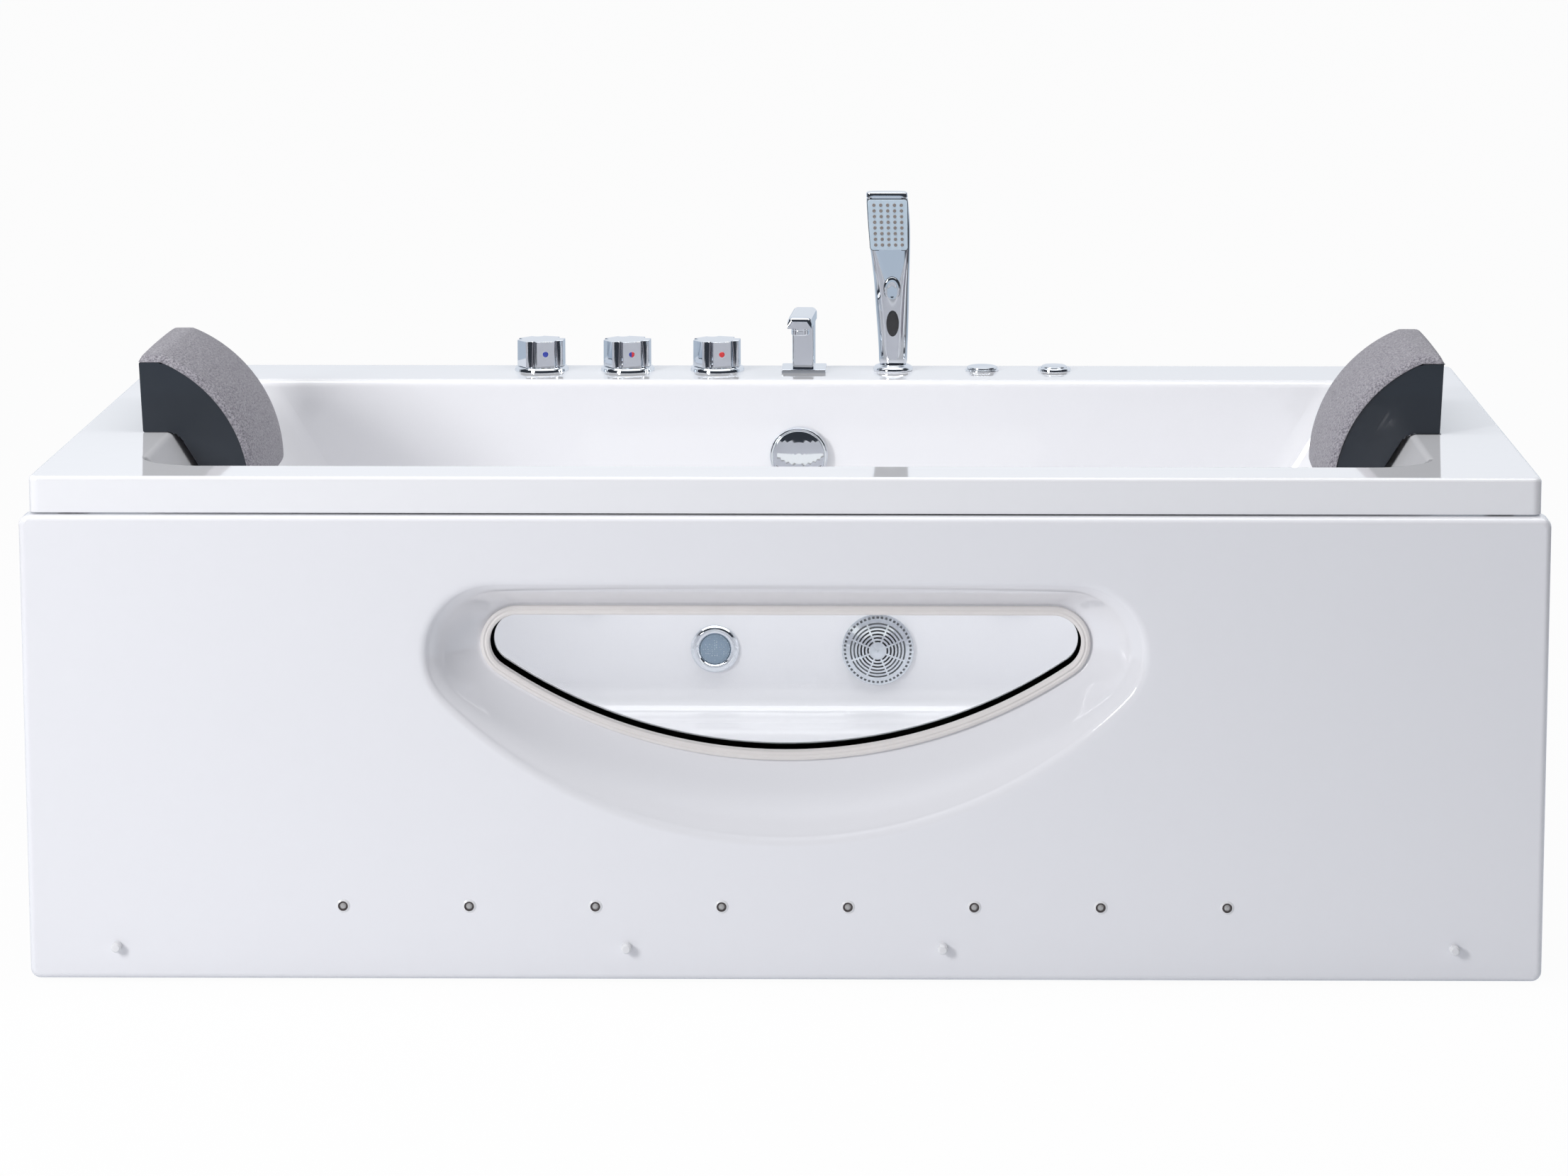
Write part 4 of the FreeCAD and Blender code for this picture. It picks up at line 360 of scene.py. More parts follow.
# growth of the window's outline, and place along the depth
section = [(0, -380), (0, -390.8), (-0.9, -392), (-3.8, -392.4), (-4.8, -391.4), (-6.2, -391.4),
           (-7.2, -392.4), (-10.1, -392), (-11, -390.8), (-11, -380)]
rings = [smile_ring(trim_form, WINDOW, grow, y) for grow, y in section]
bridge(trim_form, rings + [rings[0]])
cream = Finish("cream_trim", (0.84, 0.80, 0.785), 0.36)
cream.bump(cream.noise(900), 0.0002, 0.3)
cream.set("Base Color", cream.blend(cream.noise(40), (0.86, 0.825, 0.81), (0.80, 0.765, 0.75)))
make("edge_trim", trim_form, cream, "bath", ["window_trim"], crease=50)
pane = Finish("window_pane", (0.985, 0.995, 1.0), 0.01, Transmission_Weight=1.0, IOR=1.12)
dress(pane, "window_glass")
seal = Finish("dark_seal", (0.03, 0.04, 0.048), 0.22, Coat_Weight=0.4)
seal.set("Roughness", 0.16 + 0.14 * seal.noise(300))
seal.set("Base Color", seal.blend(seal.noise(60, 3), (0.024, 0.032, 0.038), (0.038, 0.05, 0.06)))
dress(seal, "window_gasket")

# ------------------------------------------------------------ panel fittings
# Moulded white plugs and light cups. Each spot has a dark metal holder and a clear lens.
moulded = Finish("moulded_white", (0.82, 0.82, 0.84), 0.22, Coat_Weight=0.3)
moulded.bump(moulded.noise(700), 0.0001, 0.3)
dress(moulded, "panel_plugs", "spot_cups")
holder = Finish("spot_holder", (0.12, 0.10, 0.09), 0.25, Metallic=0.8)
holder.set("Base Color", holder.blend(holder.noise(500), (0.16, 0.13, 0.12), (0.07, 0.055, 0.05)))
dress(holder, "spot_holders")
bulb = Finish("spot_lens", (0.42, 0.42, 0.42), 0.12, Coat_Weight=1.0)
bulb.set("Base Color", bulb.blend(bulb.noise(900, 3), (0.26, 0.25, 0.24), (0.62, 0.62, 0.62)))
dress(bulb, "spot_lenses")

# ------------------------------------------------------------ steel frame and feet
# Galvanised square tube with its spangle, zinc-plated studs and nuts, and black foot pads.
zinc = Finish("galvanised_steel", (0.55, 0.56, 0.58), 0.42, Metallic=0.85)
spangle = zinc.node("TexVoronoi", {}, {"Vector": zinc.place(), "Scale": 90.0}, "Color")
grain = zinc.node("SeparateColor", {}, {0: spangle})
zinc.set("Base Color", zinc.blend(grain, (0.40, 0.41, 0.43), (0.66, 0.67, 0.69)))
zinc.set("Roughness", 0.32 + 0.22 * grain)
zinc.bump(zinc.noise(260, 3), 0.0002, 0.4)
dress(zinc, "steel_frame")
plated = Finish("plated_steel", (0.62, 0.60, 0.54), 0.3, Metallic=1.0)
thread = plated.node("TexWave", {"bands_direction": "Z"},
                     {"Vector": plated.place(), "Scale": 180.0})
plated.set("Base Color", plated.blend(plated.noise(120), (0.66, 0.64, 0.58), (0.50, 0.50, 0.50)))
plated.bump(thread, 0.0006, 0.6)
dress(plated, "foot_studs")
bright = Finish("bright_nuts", (0.62, 0.62, 0.62), 0.28, Metallic=1.0)
bright.set("Base Color", bright.blend(bright.noise(150), (0.70, 0.69, 0.66), (0.52, 0.53, 0.55)))
dress(bright, "lock_nuts")
rubber = Finish("foot_rubber", (0.02, 0.02, 0.022), 0.7)
rubber.bump(rubber.noise(1200, 3), 0.0002, 0.5)
dress(rubber, "foot_pads")

# ------------------------------------------------------------ taps
# Chromed handles with five lobes, each on a round flange, and brass valves under the deck.
chrome = Finish("chrome", (0.80, 0.83, 0.87), 0.045, Metallic=1.0)
chrome.set("Roughness", 0.03 + 0.035 * chrome.noise(80))
DECK_Y = 411.0
DECK_Z = 610.0
TAPS = {"cold": (-352, "cold_tap"), "diverter": (-235, "diverter"), "hot": (-113, "hot_tap")}
HANDLE_Z = DECK_Z + 6.3
HANDLE_RADIUS = 33.0
HANDLE_SIDE = 30.6
FLUTE = 7.6


def turn_up(form, outline, centre, facing="Z", steps=64, soften=0.6):
    """Spin an outline of (radius, height) points round an upright or a level axis."""
    before = set(form.verts)
    verts = [form.verts.new((radius, 0, height)) for radius, height in outline]
    for pair in zip(verts, verts[1:]):
        form.edges.new(pair)
    if soften:
        bmesh.ops.bevel(form, geom=verts[1:-1], offset=soften, offset_type="OFFSET",
                        affect="VERTICES", segments=3, profile=0.5, material=-1)
    verts = [v for v in form.verts if v not in before]
    edges = list({e for v in verts for e in v.link_edges})
    bmesh.ops.spin(form, geom=verts + edges, cent=(0, 0, 0), axis=(0, 0, 1), angle=2 * math.pi,
                   steps=steps, use_merge=True)
    tilt = {"Z": 0, "-Y": math.pi / 2}[facing]
    bmesh.ops.transform(form, matrix=Matrix.Translation(centre) @ Matrix.Rotation(tilt, 4, "X"),
                        verts=[v for v in form.verts if v not in before])


def lobed(angle, far):
    """How far the handle's edge stands from its axis: five flat sides, with a flute between."""
    step = 2 * math.pi / 5
    off = (angle + step / 2) % step - step / 2
    side = min(HANDLE_RADIUS, HANDLE_SIDE / math.cos(abs(off) - step / 2))
    across = far * math.sin(off)
    if abs(across) >= FLUTE:
        return side
    return min(side, far * math.cos(off) - math.sqrt(FLUTE ** 2 - across ** 2))


for tap, (x, body) in TAPS.items():
    form = bmesh.new()
    bmesh.ops.create_circle(form, cap_ends=True, segments=200, radius=HANDLE_RADIUS)
    stood = bmesh.ops.extrude_face_region(form, geom=form.faces[:])
    raised = [v for v in stood["geom"] if isinstance(v, bmesh.types.BMVert)]
    for v in form.verts:
        flute = math.atan2(v.co.y, v.co.x) - math.radians(-90 - 22)
        v.co *= lobed(flute, 33.6 if v in raised else 36.8) / HANDLE_RADIUS
    bmesh.ops.translate(form, vec=(0, 0, 36.0), verts=raised)
    rims = [e for e in form.edges if len(e.link_faces) == 2 and abs(e.calc_face_angle(0)) > 1.2
            and abs(e.verts[0].co.z - e.verts[1].co.z) < 0.1]
    bmesh.ops.bevel(form, geom=rims, offset=0.9, affect="EDGES", segments=3, profile=0.5,
                    material=-1)
    top = max(form.faces, key=lambda f: f.calc_center_median().z)
    for share in (0.86, 0.5):
        top = bmesh.ops.extrude_discrete_faces(form, faces=[top])["faces"][0]
        bmesh.ops.scale(form, vec=(share, share, 1), verts=top.verts)
        bmesh.ops.translate(form, vec=(0, 0, 0.12), verts=top.verts)
    bmesh.ops.translate(form, vec=(x, DECK_Y, HANDLE_Z), verts=form.verts)
    make(f"{tap}_knob", form, chrome, body, [f"{tap}_handle"], crease=30)

    dot = bmesh.new()
    bmesh.ops.create_circle(dot, cap_ends=True, segments=28, radius=4.0)
    crown = bmesh.ops.extrude_face_region(dot, geom=dot.faces[:])
    lifted = [v for v in crown["geom"] if isinstance(v, bmesh.types.BMVert)]
    bmesh.ops.translate(dot, vec=(0, 0, 0.7), verts=lifted)
    bmesh.ops.scale(dot, vec=(0.8, 0.8, 1), verts=lifted)
    lean = Matrix.Rotation(math.radians(14), 4, "Z")
    spot = Matrix.Translation((x, DECK_Y, HANDLE_Z + 19)) @ lean
    spot = spot @ Matrix.Translation((0, -30.5, 0)) @ Matrix.Rotation(math.pi / 2, 4, "X")
    bmesh.ops.transform(dot, matrix=spot, verts=dot.verts)
    enamel = Finish(f"{tap}_enamel", (0.6, 0.02, 0.02), 0.25, Coat_Weight=1.0)
    red, blue = (0.62, 0.015, 0.02), (0.012, 0.03, 0.32)
    side = enamel.place("X").above((x + 7.2) * MM, (x + 7.6) * MM)
    mix = {"cold": enamel.blend(enamel.noise(300), blue, (0.02, 0.045, 0.38)),
           "diverter": enamel.blend(side, blue, red),
           "hot": enamel.blend(enamel.noise(300), red, (0.7, 0.03, 0.03))}[tap]
    enamel.set("Base Color", mix)
    make(f"{tap}_mark", dot, enamel, body)

flanges = bmesh.new()
for x, _ in TAPS.values():
    turn_up(flanges, [(12.1, 0), (36.7, 0), (36.7, 0.7), (35.9, 3.9), (34.9, 5.2), (33.6, 5.9),
                      (32.2, 6.0), (12.1, 6.0)], (x, DECK_Y, DECK_Z), soften=0.2)
make("flanges", flanges, chrome, "bath", ["tap_flanges"])
brass = Finish("brass", (0.55, 0.42, 0.20), 0.3, Metallic=1.0)
brass.set("Base Color", brass.blend(brass.noise(90, 3), (0.60, 0.46, 0.22), (0.44, 0.32, 0.15)))
dress(brass, "tap_valves")
drawn = Finish("drawn_steel", (0.6, 0.6, 0.6), 0.3, Metallic=1.0)
drawn.set("Roughness", 0.22 + 0.2 * drawn.noise(200))
dress(drawn, "mixer_pipes")

# ------------------------------------------------------------ spout
# A cast and chromed column on a square plate, set about three degrees off square. Its head is
# rounded along the top and reaches over the basin, with a round aerator under the nose.
SPOUT_X = 5.0


def slab(form, low, high):
    """A block between two corners."""
    cube = bmesh.ops.create_cube(form, size=1)["verts"]
    span = [h - l for l, h in zip(low, high)]
    bmesh.ops.scale(form, vec=span, verts=cube)
    bmesh.ops.translate(form, vec=[(l + h) / 2 for l, h in zip(low, high)], verts=cube)
    return cube


def ease(form, verts, radius, chosen, segments=4):
    """Round the edges of a block for which chosen(first end, second end) is true."""
    near = {e for v in verts if v.is_valid for e in v.link_edges}
    edges = [e for e in near if chosen(*[v.co for v in e.verts])]
    bmesh.ops.bevel(form, geom=edges, offset=radius, affect="EDGES", segments=segments, profile=0.5,
                    material=-1)


def upright_edge(a, b):
    return abs(a.z - b.z) > 1


def nose_edge(a, b):
    return max(a.y, b.y) < DECK_Y - 81.9 and min(a.z, b.z) > DECK_Z + 76


base = bmesh.new()
plate = slab(base, (SPOUT_X - 30, DECK_Y - 30, DECK_Z), (SPOUT_X + 30, DECK_Y + 30, DECK_Z + 5))
ease(base, plate, 2, upright_edge)
ease(base, base.verts[:], 1, lambda a, b: min(a.z, b.z) > DECK_Z + 4.9, 3)
make("spout_plate", base, chrome, "bath", ["spout_base"], crease=35)

spout = bmesh.new()
column = slab(spout, (SPOUT_X - 14.5, DECK_Y - 18, DECK_Z + 5),
              (SPOUT_X + 14.5, DECK_Y + 18, DECK_Z + 78))
ease(spout, column, 3, upright_edge, 5)
head = bmesh.new()
block = slab(head, (SPOUT_X - 16.2, DECK_Y - 82, DECK_Z + 68),
             (SPOUT_X + 16.2, DECK_Y + 18, DECK_Z + 84))
ease(head, block, 7, lambda a, b: abs(a.y - b.y) > 1 and a.z > DECK_Z + 83, 8)
ease(head, head.verts[:], 6.5, nose_edge, 7)
ease(head, head.verts[:], 1.2, lambda a, b: max(a.z, b.z) < DECK_Z + 68.1, 3)
joined = bpy.data.meshes.new("spout_head")
head.to_mesh(joined)
spout.from_mesh(joined)
turn_up(spout, [(0, -60), (10, -60), (10, 6)], (SPOUT_X, DECK_Y, DECK_Z), steps=40)
set_askew = Matrix.Rotation(math.radians(-3), 4, "Z")
bmesh.ops.rotate(spout, cent=(SPOUT_X, DECK_Y, 0), matrix=set_askew, verts=spout.verts)
make("spout_casting", spout, chrome, "bath", ["spout_body"], crease=32)

tip = bmesh.new()
turn_up(tip, [(0, -7), (8, -7), (8.6, -10), (11.2, -10), (12, -9), (12, -3.4), (11.6, -3),
              (12, -2.6), (12, 0.6)], (SPOUT_X, DECK_Y - 66, DECK_Z + 68), steps=56, soften=0.3)
bmesh.ops.rotate(tip, cent=(SPOUT_X, DECK_Y, 0), matrix=set_askew, verts=tip.verts)
make("aerator_tip", tip, chrome, "bath", ["spout_aerator"], crease=35)

# ------------------------------------------------------------ hand shower
# A chromed moulding that grows from a round peg to a wide flat head, which leans to the left.
# It stands in a turned socket on the deck.
SHOWER_X = 126.0
# height, middle, front and back, half width, and how square the front is
SHOWER = [(619.4, 126, 395.2, 427, 18.8, 2.0), (640, 126, 394.4, 427.6, 19.4, 2.0),
          (657, 126, 394, 428, 20.3, 2.1), (697, 125, 393.7, 427.6, 22.3, 2.3),
          (730, 124.2, 393.9, 426.4, 23.5, 2.8), (764, 122.8, 394.4, 425, 25.8, 4.2),
          (787, 121.4, 395, 423.6, 27.5, 5.5), (813, 120.2, 395.6, 421.8, 28.4, 6),
          (837, 118.4, 396.3, 420, 28.2, 6), (855, 117.2, 396.8, 418.8, 27.6, 6)]
PLATE_TOP, PLATE_HIGH, PLATE_X, PLATE_LEAN = 845, 68.5, 118.1, 0.018
NOZZLE_TOP, NOZZLE_PITCH = 837.6, 7.7


def shower_at(z):
    """The section of the hand shower at one height, eased between the stated ones."""
    total, weights = [0.0] * 5, 0.0
    for step in range(-3, 4):
        at = min(max(z + step * 4, SHOWER[0][0]), SHOWER[-1][0])
        below = max(row for row in SHOWER if row[0] <= at)
        beyond = next((row for row in SHOWER if row[0] > at), below)
        share = (at - below[0]) / (beyond[0] - below[0]) if beyond is not below else 0
        weight = 4 - abs(step)
        total = [t + weight * v for t, v in zip(total, between(below[1:], beyond[1:], share))]
        weights += weight
    return [t / weights for t in total]


def shower_ring(form, z, inset=0.0):
    middle, front, back, half, square = shower_at(z)
    deep = (back - front) / 2
    ring = bmesh.ops.create_circle(form, segments=96, radius=1)["verts"]
    for v in ring:
        power = 2 / (square if v.co.y < 0 else 2.3)
        x = math.copysign(abs(v.co.x) ** power, v.co.x)
        y = math.copysign(abs(v.co.y) ** power, v.co.y)
        v.co = (middle + x * (half - inset), (front + back) / 2 + y * (deep - inset), z)
    return list({e for v in ring for e in v.link_edges})


def shower_front(x, z):
    """Where the front of the hand shower stands at one place."""
    middle, front, back, half, square = shower_at(z)
    out = min(abs(x - middle) / half, 0.999)
    return (front + back) / 2 - (back - front) / 2 * (1 - out ** square) ** (1 / square)


grip = bmesh.new()
heights = [619.4 + i * (845.6 - 619.4) / 56 for i in range(57)]
rings = [shower_ring(grip, 619.4, 1.2)] + [shower_ring(grip, z) for z in heights[1:]]
rings += [shower_ring(grip, z, inset) for z, inset in
          ((846.0, 0.2), (846.2, 1.1), (847.4, 1.1), (847.6, 0.2), (848.2, 0), (852.6, 0),
           (853.8, 0.5), (854.6, 1.4), (855, 2.6))]
bridge(grip, rings)
bmesh.ops.contextual_create(grip, geom=rings[-1])
turn_up(grip, [(6, -30), (6, -54.6), (11, -54.6), (11, 1)], (SHOWER_X, DECK_Y, DECK_Z + 9.3),
        steps=48)
make("shower_grip", grip, chrome, "hand_shower", ["shower_handle"], crease=40)


def plate_ring(form, grow, lift):
    """The spray plate's outline: wider at the top, with small round corners, on the head's front."""
    edges = box_ring(form, 27.2 + grow, PLATE_TOP - PLATE_HIGH - grow, PLATE_TOP + grow,
                     4 + grow, 0, 0)
    for v in {v for e in edges for v in e.verts}:
        low = (PLATE_TOP - v.co.z) / PLATE_HIGH
        v.co.x = v.co.x * (1 - 0.075 * low) + PLATE_X + 2.6 * low
        v.co.y = 396.4 - PLATE_LEAN * (PLATE_TOP - v.co.z) - lift
    return edges


plate = bmesh.new()
rings = [plate_ring(plate, grow, lift)
         for grow, lift in ((0, -2.4), (0, 0.5), (-0.3, 0.9), (-0.8, 1.1))]
bridge(plate, rings)
bmesh.ops.triangle_fill(plate, use_beauty=True, edges=rings[-1], normal=(0, -1, 0))
spray = Finish("spray_plate", (0.50, 0.60, 0.69), 0.28, Coat_Weight=0.6, Coat_Roughness=0.05)
spray.set("Base Color", spray.blend(spray.noise(60), (0.47, 0.57, 0.66), (0.53, 0.63, 0.72)))
spray.bump(spray.noise(1500), 0.00004, 0.4)
make("spray_plate", plate, spray, "hand_shower", ["shower_face"], crease=35)
# A thin dark ring round the spray plate: a painted shadow line in the gap between the plate and the
# head.
line = bmesh.new()
rings = [plate_ring(line, grow, lift) for grow, lift in ((0.75, -2.4), (0.75, 0.25), (-0.5, 0.25))]
bridge(line, rings)
# This dark finish is painted shadow. It serves both dark outlines on the hand shower.
shadow = Finish("painted_shadow", (0.02, 0.022, 0.026), 0.4)
shadow.set("Roughness", 0.3 + 0.2 * shadow.noise(400))
make("plate_shadow_line", line, shadow, "hand_shower")

sprays = bmesh.new()
for row in range(8):
    low = (PLATE_TOP - NOZZLE_TOP + row * NOZZLE_PITCH) / PLATE_HIGH
    for column in range(5):
        x = PLATE_X + 2.6 * low + (column - 2) * (9.3 - 0.4 * low)
        turn_up(sprays, [(2.3, -0.5), (2.3, 0.45), (1.9, 0.8), (1.5, 0.8), (1.25, 0.35), (0, 0.3)],
                (x, 395.3 - PLATE_LEAN * PLATE_HIGH * low, NOZZLE_TOP - row * NOZZLE_PITCH), "-Y",
                steps=18, soften=0)
jet_rubber = Finish("spray_nozzles", (0.20, 0.17, 0.16), 0.45)
jet_rubber.set("Base Color", jet_rubber.blend(jet_rubber.noise(900, 3), (0.13, 0.11, 0.10),
                                              (0.42, 0.38, 0.36)))
make("spray_nozzles", sprays, jet_rubber, "hand_shower", ["shower_nozzles"],
     crease=45)


def patch(name, shape, levels, finish, stands_for=()):
    """A thin piece on the hand shower's front: rings of one shape, at shares of its size."""
    form = bmesh.new()
    rings = []
    for share, lift in levels:
        ring = bmesh.ops.create_circle(form, segments=64, radius=1)["verts"]
        for v in ring:
            x, z = shape(v.co.x * share, v.co.y * share)
            v.co = (x, shower_front(x, z) - lift, z)
        rings.append(list({e for v in ring for e in v.link_edges}))
    bridge(form, rings)
    bmesh.ops.contextual_create(form, geom=rings[-1])
    make(name, form, finish, "hand_shower", stands_for, crease=35)


def thumb(across, up):
    """A pointed arch, whose foot is a shallow curve."""
    foot = 14 * (1 - (1 + up) ** 3) * (0.72 + 0.28 * (1 - across ** 2))
    z = 724 + 15.5 * up if up > 0 else 724 - foot
    return 124.6 + 10.8 * across * (1 if up > 0 else 1 - 0.12 * abs(up)), z


def oval(across, up):
    return 125.4 + 8.5 * across, 676.5 + 17.8 * up


# A dark ring just outside the thumb rest: a painted shadow round the foot of the arch.
patch("thumb_shadow_line", thumb, [(1.07, -0.8), (1.07, 0.12), (0.9, 0.12)], shadow)
patch("thumb_rest", thumb, [(1, -0.8), (1, 0.5), (0.96, 0.95), (0.88, 1.2), (0.7, 1.3),
                            (0.45, 1.1), (0.2, 0.9)], chrome)
ribbed = Finish("ribbed_inlay", (0.012, 0.012, 0.014), 0.2, Coat_Weight=0.8)
ribs = ribbed.node("TexWave", {"bands_direction": "X"}, {"Vector": ribbed.place(), "Scale": 330.0})
ribbed.set("Base Color", ribbed.blend(ribs, (0.008, 0.008, 0.009), (0.030, 0.030, 0.033)))
ribbed.bump(ribs, 0.0004, 0.8)
patch("grip_inlay", oval, [(1, -0.8), (1, 0.25), (0.95, 0.45), (0.7, 0.5), (0.4, 0.5),
                           (0.15, 0.5)], ribbed, ["shower_inlay"])

socket = bmesh.new()
turn_up(socket, [(11.2, -60), (16, -60), (16, 0), (26.2, 0), (27, 1.4), (26.9, 3), (26.2, 4.8),
                 (24.9, 6.4), (23.2, 7.4), (21.4, 7.7), (20.4, 8.1), (19.8, 9), (11.2, 9)],
        (SHOWER_X, DECK_Y, DECK_Z), soften=0.5)
make("socket_ring", socket, chrome, "bath", ["shower_socket"], crease=35)

# ------------------------------------------------------------ air control and push button
# Two low chromed discs on the deck: a dished knob that lets air into the jets, and a domed button.
AIR = (247, DECK_Y, DECK_Z)
BUTTON = (345, DECK_Y, DECK_Z)
air = bmesh.new()
turn_up(air, [(6.2, -65), (12, -65), (12, 0), (22.6, 0), (23, 0.6), (22.5, 2.1), (21.6, 2.5),
              (6.2, 2.5)], AIR, soften=0.3)
make("air_seat", air, chrome, "bath", ["air_control_base"], crease=35)
dish = bmesh.new()
turn_up(dish, [(0, -17), (6, -17), (6, 2.8), (20.2, 2.8), (20.6, 3.4), (20.1, 5.2), (19, 6.1),
               (17.4, 6.2), (14, 5.2), (10, 4.5), (6, 4.1), (0, 4)], AIR, soften=0.3)
make("air_dish", dish, chrome, "air_control", ["air_control_knob"], crease=35)
bezel = bmesh.new()
turn_up(bezel, [(17.3, -30), (19, -30), (19, 0), (22.3, 0), (22.7, 0.6), (22.0, 3.5), (21.0, 4.5),
                (19.4, 4.8), (17.3, 3.9), (17.3, -20)], BUTTON, soften=0.3)
make("button_ring", bezel, chrome, "bath", ["button_bezel"], crease=35)
cap = bmesh.new()
turn_up(cap, [(0, -7), (17, -7), (17, 6), (15.6, 7.3), (11, 8.1), (5, 8.45), (0, 8.5)], BUTTON,
        soften=0.3)
make("button_dome", cap, chrome, "push_button", ["button_cap"], crease=35)

# ------------------------------------------------------------ overflow and waste
# The overflow knob is a chromed dome with a bead round it and a curved slot for the water. It
# turns, and lifts the plug in the floor. Pipe and bodies are grey plastic.
WALL_Y = 319
OVERFLOW = (0, WALL_Y, 509)
DOME = 34


def dome(radius):
    return 18 - 4.1 * (radius / DOME) ** 2


knob = bmesh.new()
turn_up(knob, [(0, -20), (5, -20), (5, 2.5), (33, 2.5), (36, 1), (38.4, 1), (39, 2), (39, 11),
               (38.2, 13), (36.6, 14), (35.2, 13.8), (34.5, 13.0)]
        + [(DOME * i / 7, dome(DOME * i / 7)) for i in range(7, -1, -1)],
        OVERFLOW, "-Y", steps=96, soften=0.25)
make("overflow_dome", knob, chrome, "overflow_dial", ["overflow_knob"], crease=40)
# The slot is not cut: a thin dark sheet lies on the dome, painted shade for the hollow behind the
# opening.
slot = bmesh.new()
bmesh.ops.create_grid(slot, x_segments=40, y_segments=6, size=1)
for v in slot.verts:
    share = (v.co.y + 1) / 2
    x = v.co.x * (30.5 - 3.4 * (1 - share))
    bow = 1 - v.co.x ** 2
    foot, top = -20.0 - 6.5 * bow, -12.0 - 6.3 * bow
    z = foot + (top - foot) * share
    v.co = (x, OVERFLOW[1] - dome(math.hypot(x, z)) - 0.12, OVERFLOW[2] + z)
rim = bmesh.ops.extrude_edge_only(slot, edges=[e for e in slot.edges if e.is_boundary])["geom"]
bmesh.ops.translate(slot, vec=(0, 1.2, 0),
                    verts=[g for g in rim if isinstance(g, bmesh.types.BMVert)])
# Painted shade of the slot's hollow, turning to a paler grey with noise towards its two ends.
slot_shade = Finish("painted_slot_shade", (0.02, 0.02, 0.023), 0.12, Coat_Weight=1.0)
paler_slot_ends = slot_shade.place("X").size().above(0.017, 0.027) * slot_shade.noise(90)
slot_shade.set("Base Color", slot_shade.blend(paler_slot_ends, (0.012, 0.012, 0.014), (0.40, 0.38, 0.42)))
make("overflow_slot", slot, slot_shade, "overflow_dial")
dress(chrome, "waste_flange", "waste_plug")
pvc = Finish("pipe_plastic", (0.66, 0.67, 0.68), 0.38)
pvc.set("Base Color", pvc.blend(pvc.noise(30, 4), (0.69, 0.70, 0.71), (0.60, 0.61, 0.63)))
pvc.bump(pvc.noise(600), 0.0001, 0.3)
dress(pvc, "overflow_body", "overflow_pipe", "waste_body", "jet_bodies", "suction_body",
      "pump_unions", "suction_pipe", "pressure_pipe", "air_pipe")

# ------------------------------------------------------------ jets, suction cover and light
# Chromed wall fittings: four jets with turning nozzles, a slotted dome over the suction, and a
# lamp behind a dotted lens in a round ring.
dress(chrome, "jet_flanges", "jet_nozzle_one", "jet_nozzle_two", "jet_nozzle_three",
      "jet_nozzle_four")
grille = Finish("grille_chrome", (0.74, 0.78, 0.82), 0.09, Metallic=1.0)
grille.set("Roughness", 0.07 + 0.06 * grille.noise(120))
dress(grille, "suction_cover")
ring = bmesh.new()
turn_up(ring, [(18, -31), (20, -31), (20, 0), (32.6, 0), (33, 1.2), (32.4, 3.6), (30.6, 6.2),
               (28, 7.7), (25.4, 8), (23, 7.2), (21.3, 5.4), (20.7, 3.4), (20.6, 2), (18, 2),
               (18, -20)], (-114, WALL_Y, 243), "-Y", soften=0.5)
make("lamp_ring", ring, chrome, "bath", ["light_ring"], crease=40)
prism = Finish("prism_lens", (0.30, 0.40, 0.50), 0.28, Coat_Weight=0.7, Coat_Roughness=0.08)
cells = prism.node("TexVoronoi", {},
                   {"Vector": prism.place(), "Scale": 330.0, "Randomness": 0.45}, "Distance")
bead = 1 - cells.above(0.16, 0.42)
prism.set("Base Color", prism.blend(bead, (0.25, 0.34, 0.44), (0.52, 0.62, 0.70)))
prism.bump(bead, 0.0008, 0.7)
dress(prism, "light_lens")

# ------------------------------------------------------------ pump and control box
# A painted motor with a moulded black wet end, on a pressed stand, and a sealed box for the
# switch gear. All of it is behind the panel.
paint = Finish("motor_paint", (0.03, 0.05, 0.09), 0.42)
paint.set("Base Color", paint.blend(paint.noise(25, 4), (0.026, 0.045, 0.085), (0.04, 0.062, 0.11)))
paint.bump(paint.noise(500, 3), 0.0002, 0.5)
dress(paint, "motor_shell")
moulding = Finish("black_moulding", (0.018, 0.018, 0.02), 0.45)
moulding.set("Roughness", 0.36 + 0.2 * moulding.noise(90, 3))
moulding.bump(moulding.noise(900, 2), 0.00015, 0.4)
dress(moulding, "pump_casing", "control_box", "pump_impeller", "pump_fan")
dress(zinc, "pump_stand")
dress(drawn, "pump_shaft")

# ------------------------------------------------------------ pillows
# A glossy navy moulding stands on each end of the rim and hooks down into the basin. A soft pad of
# speckled grey foam is moulded over its top and its long front.
PILLOW_Y = 12.0
LONG = 256.0
PILLOW_TOP, PILLOW_SHOULDER, PILLOW_TOE = (810.0, 698.0), (783.0, 698.0), (676.0, 530.0)
PILLOW_BEND = 176
# how much of the profile is its flat top
TOP_SHARE = 0.14


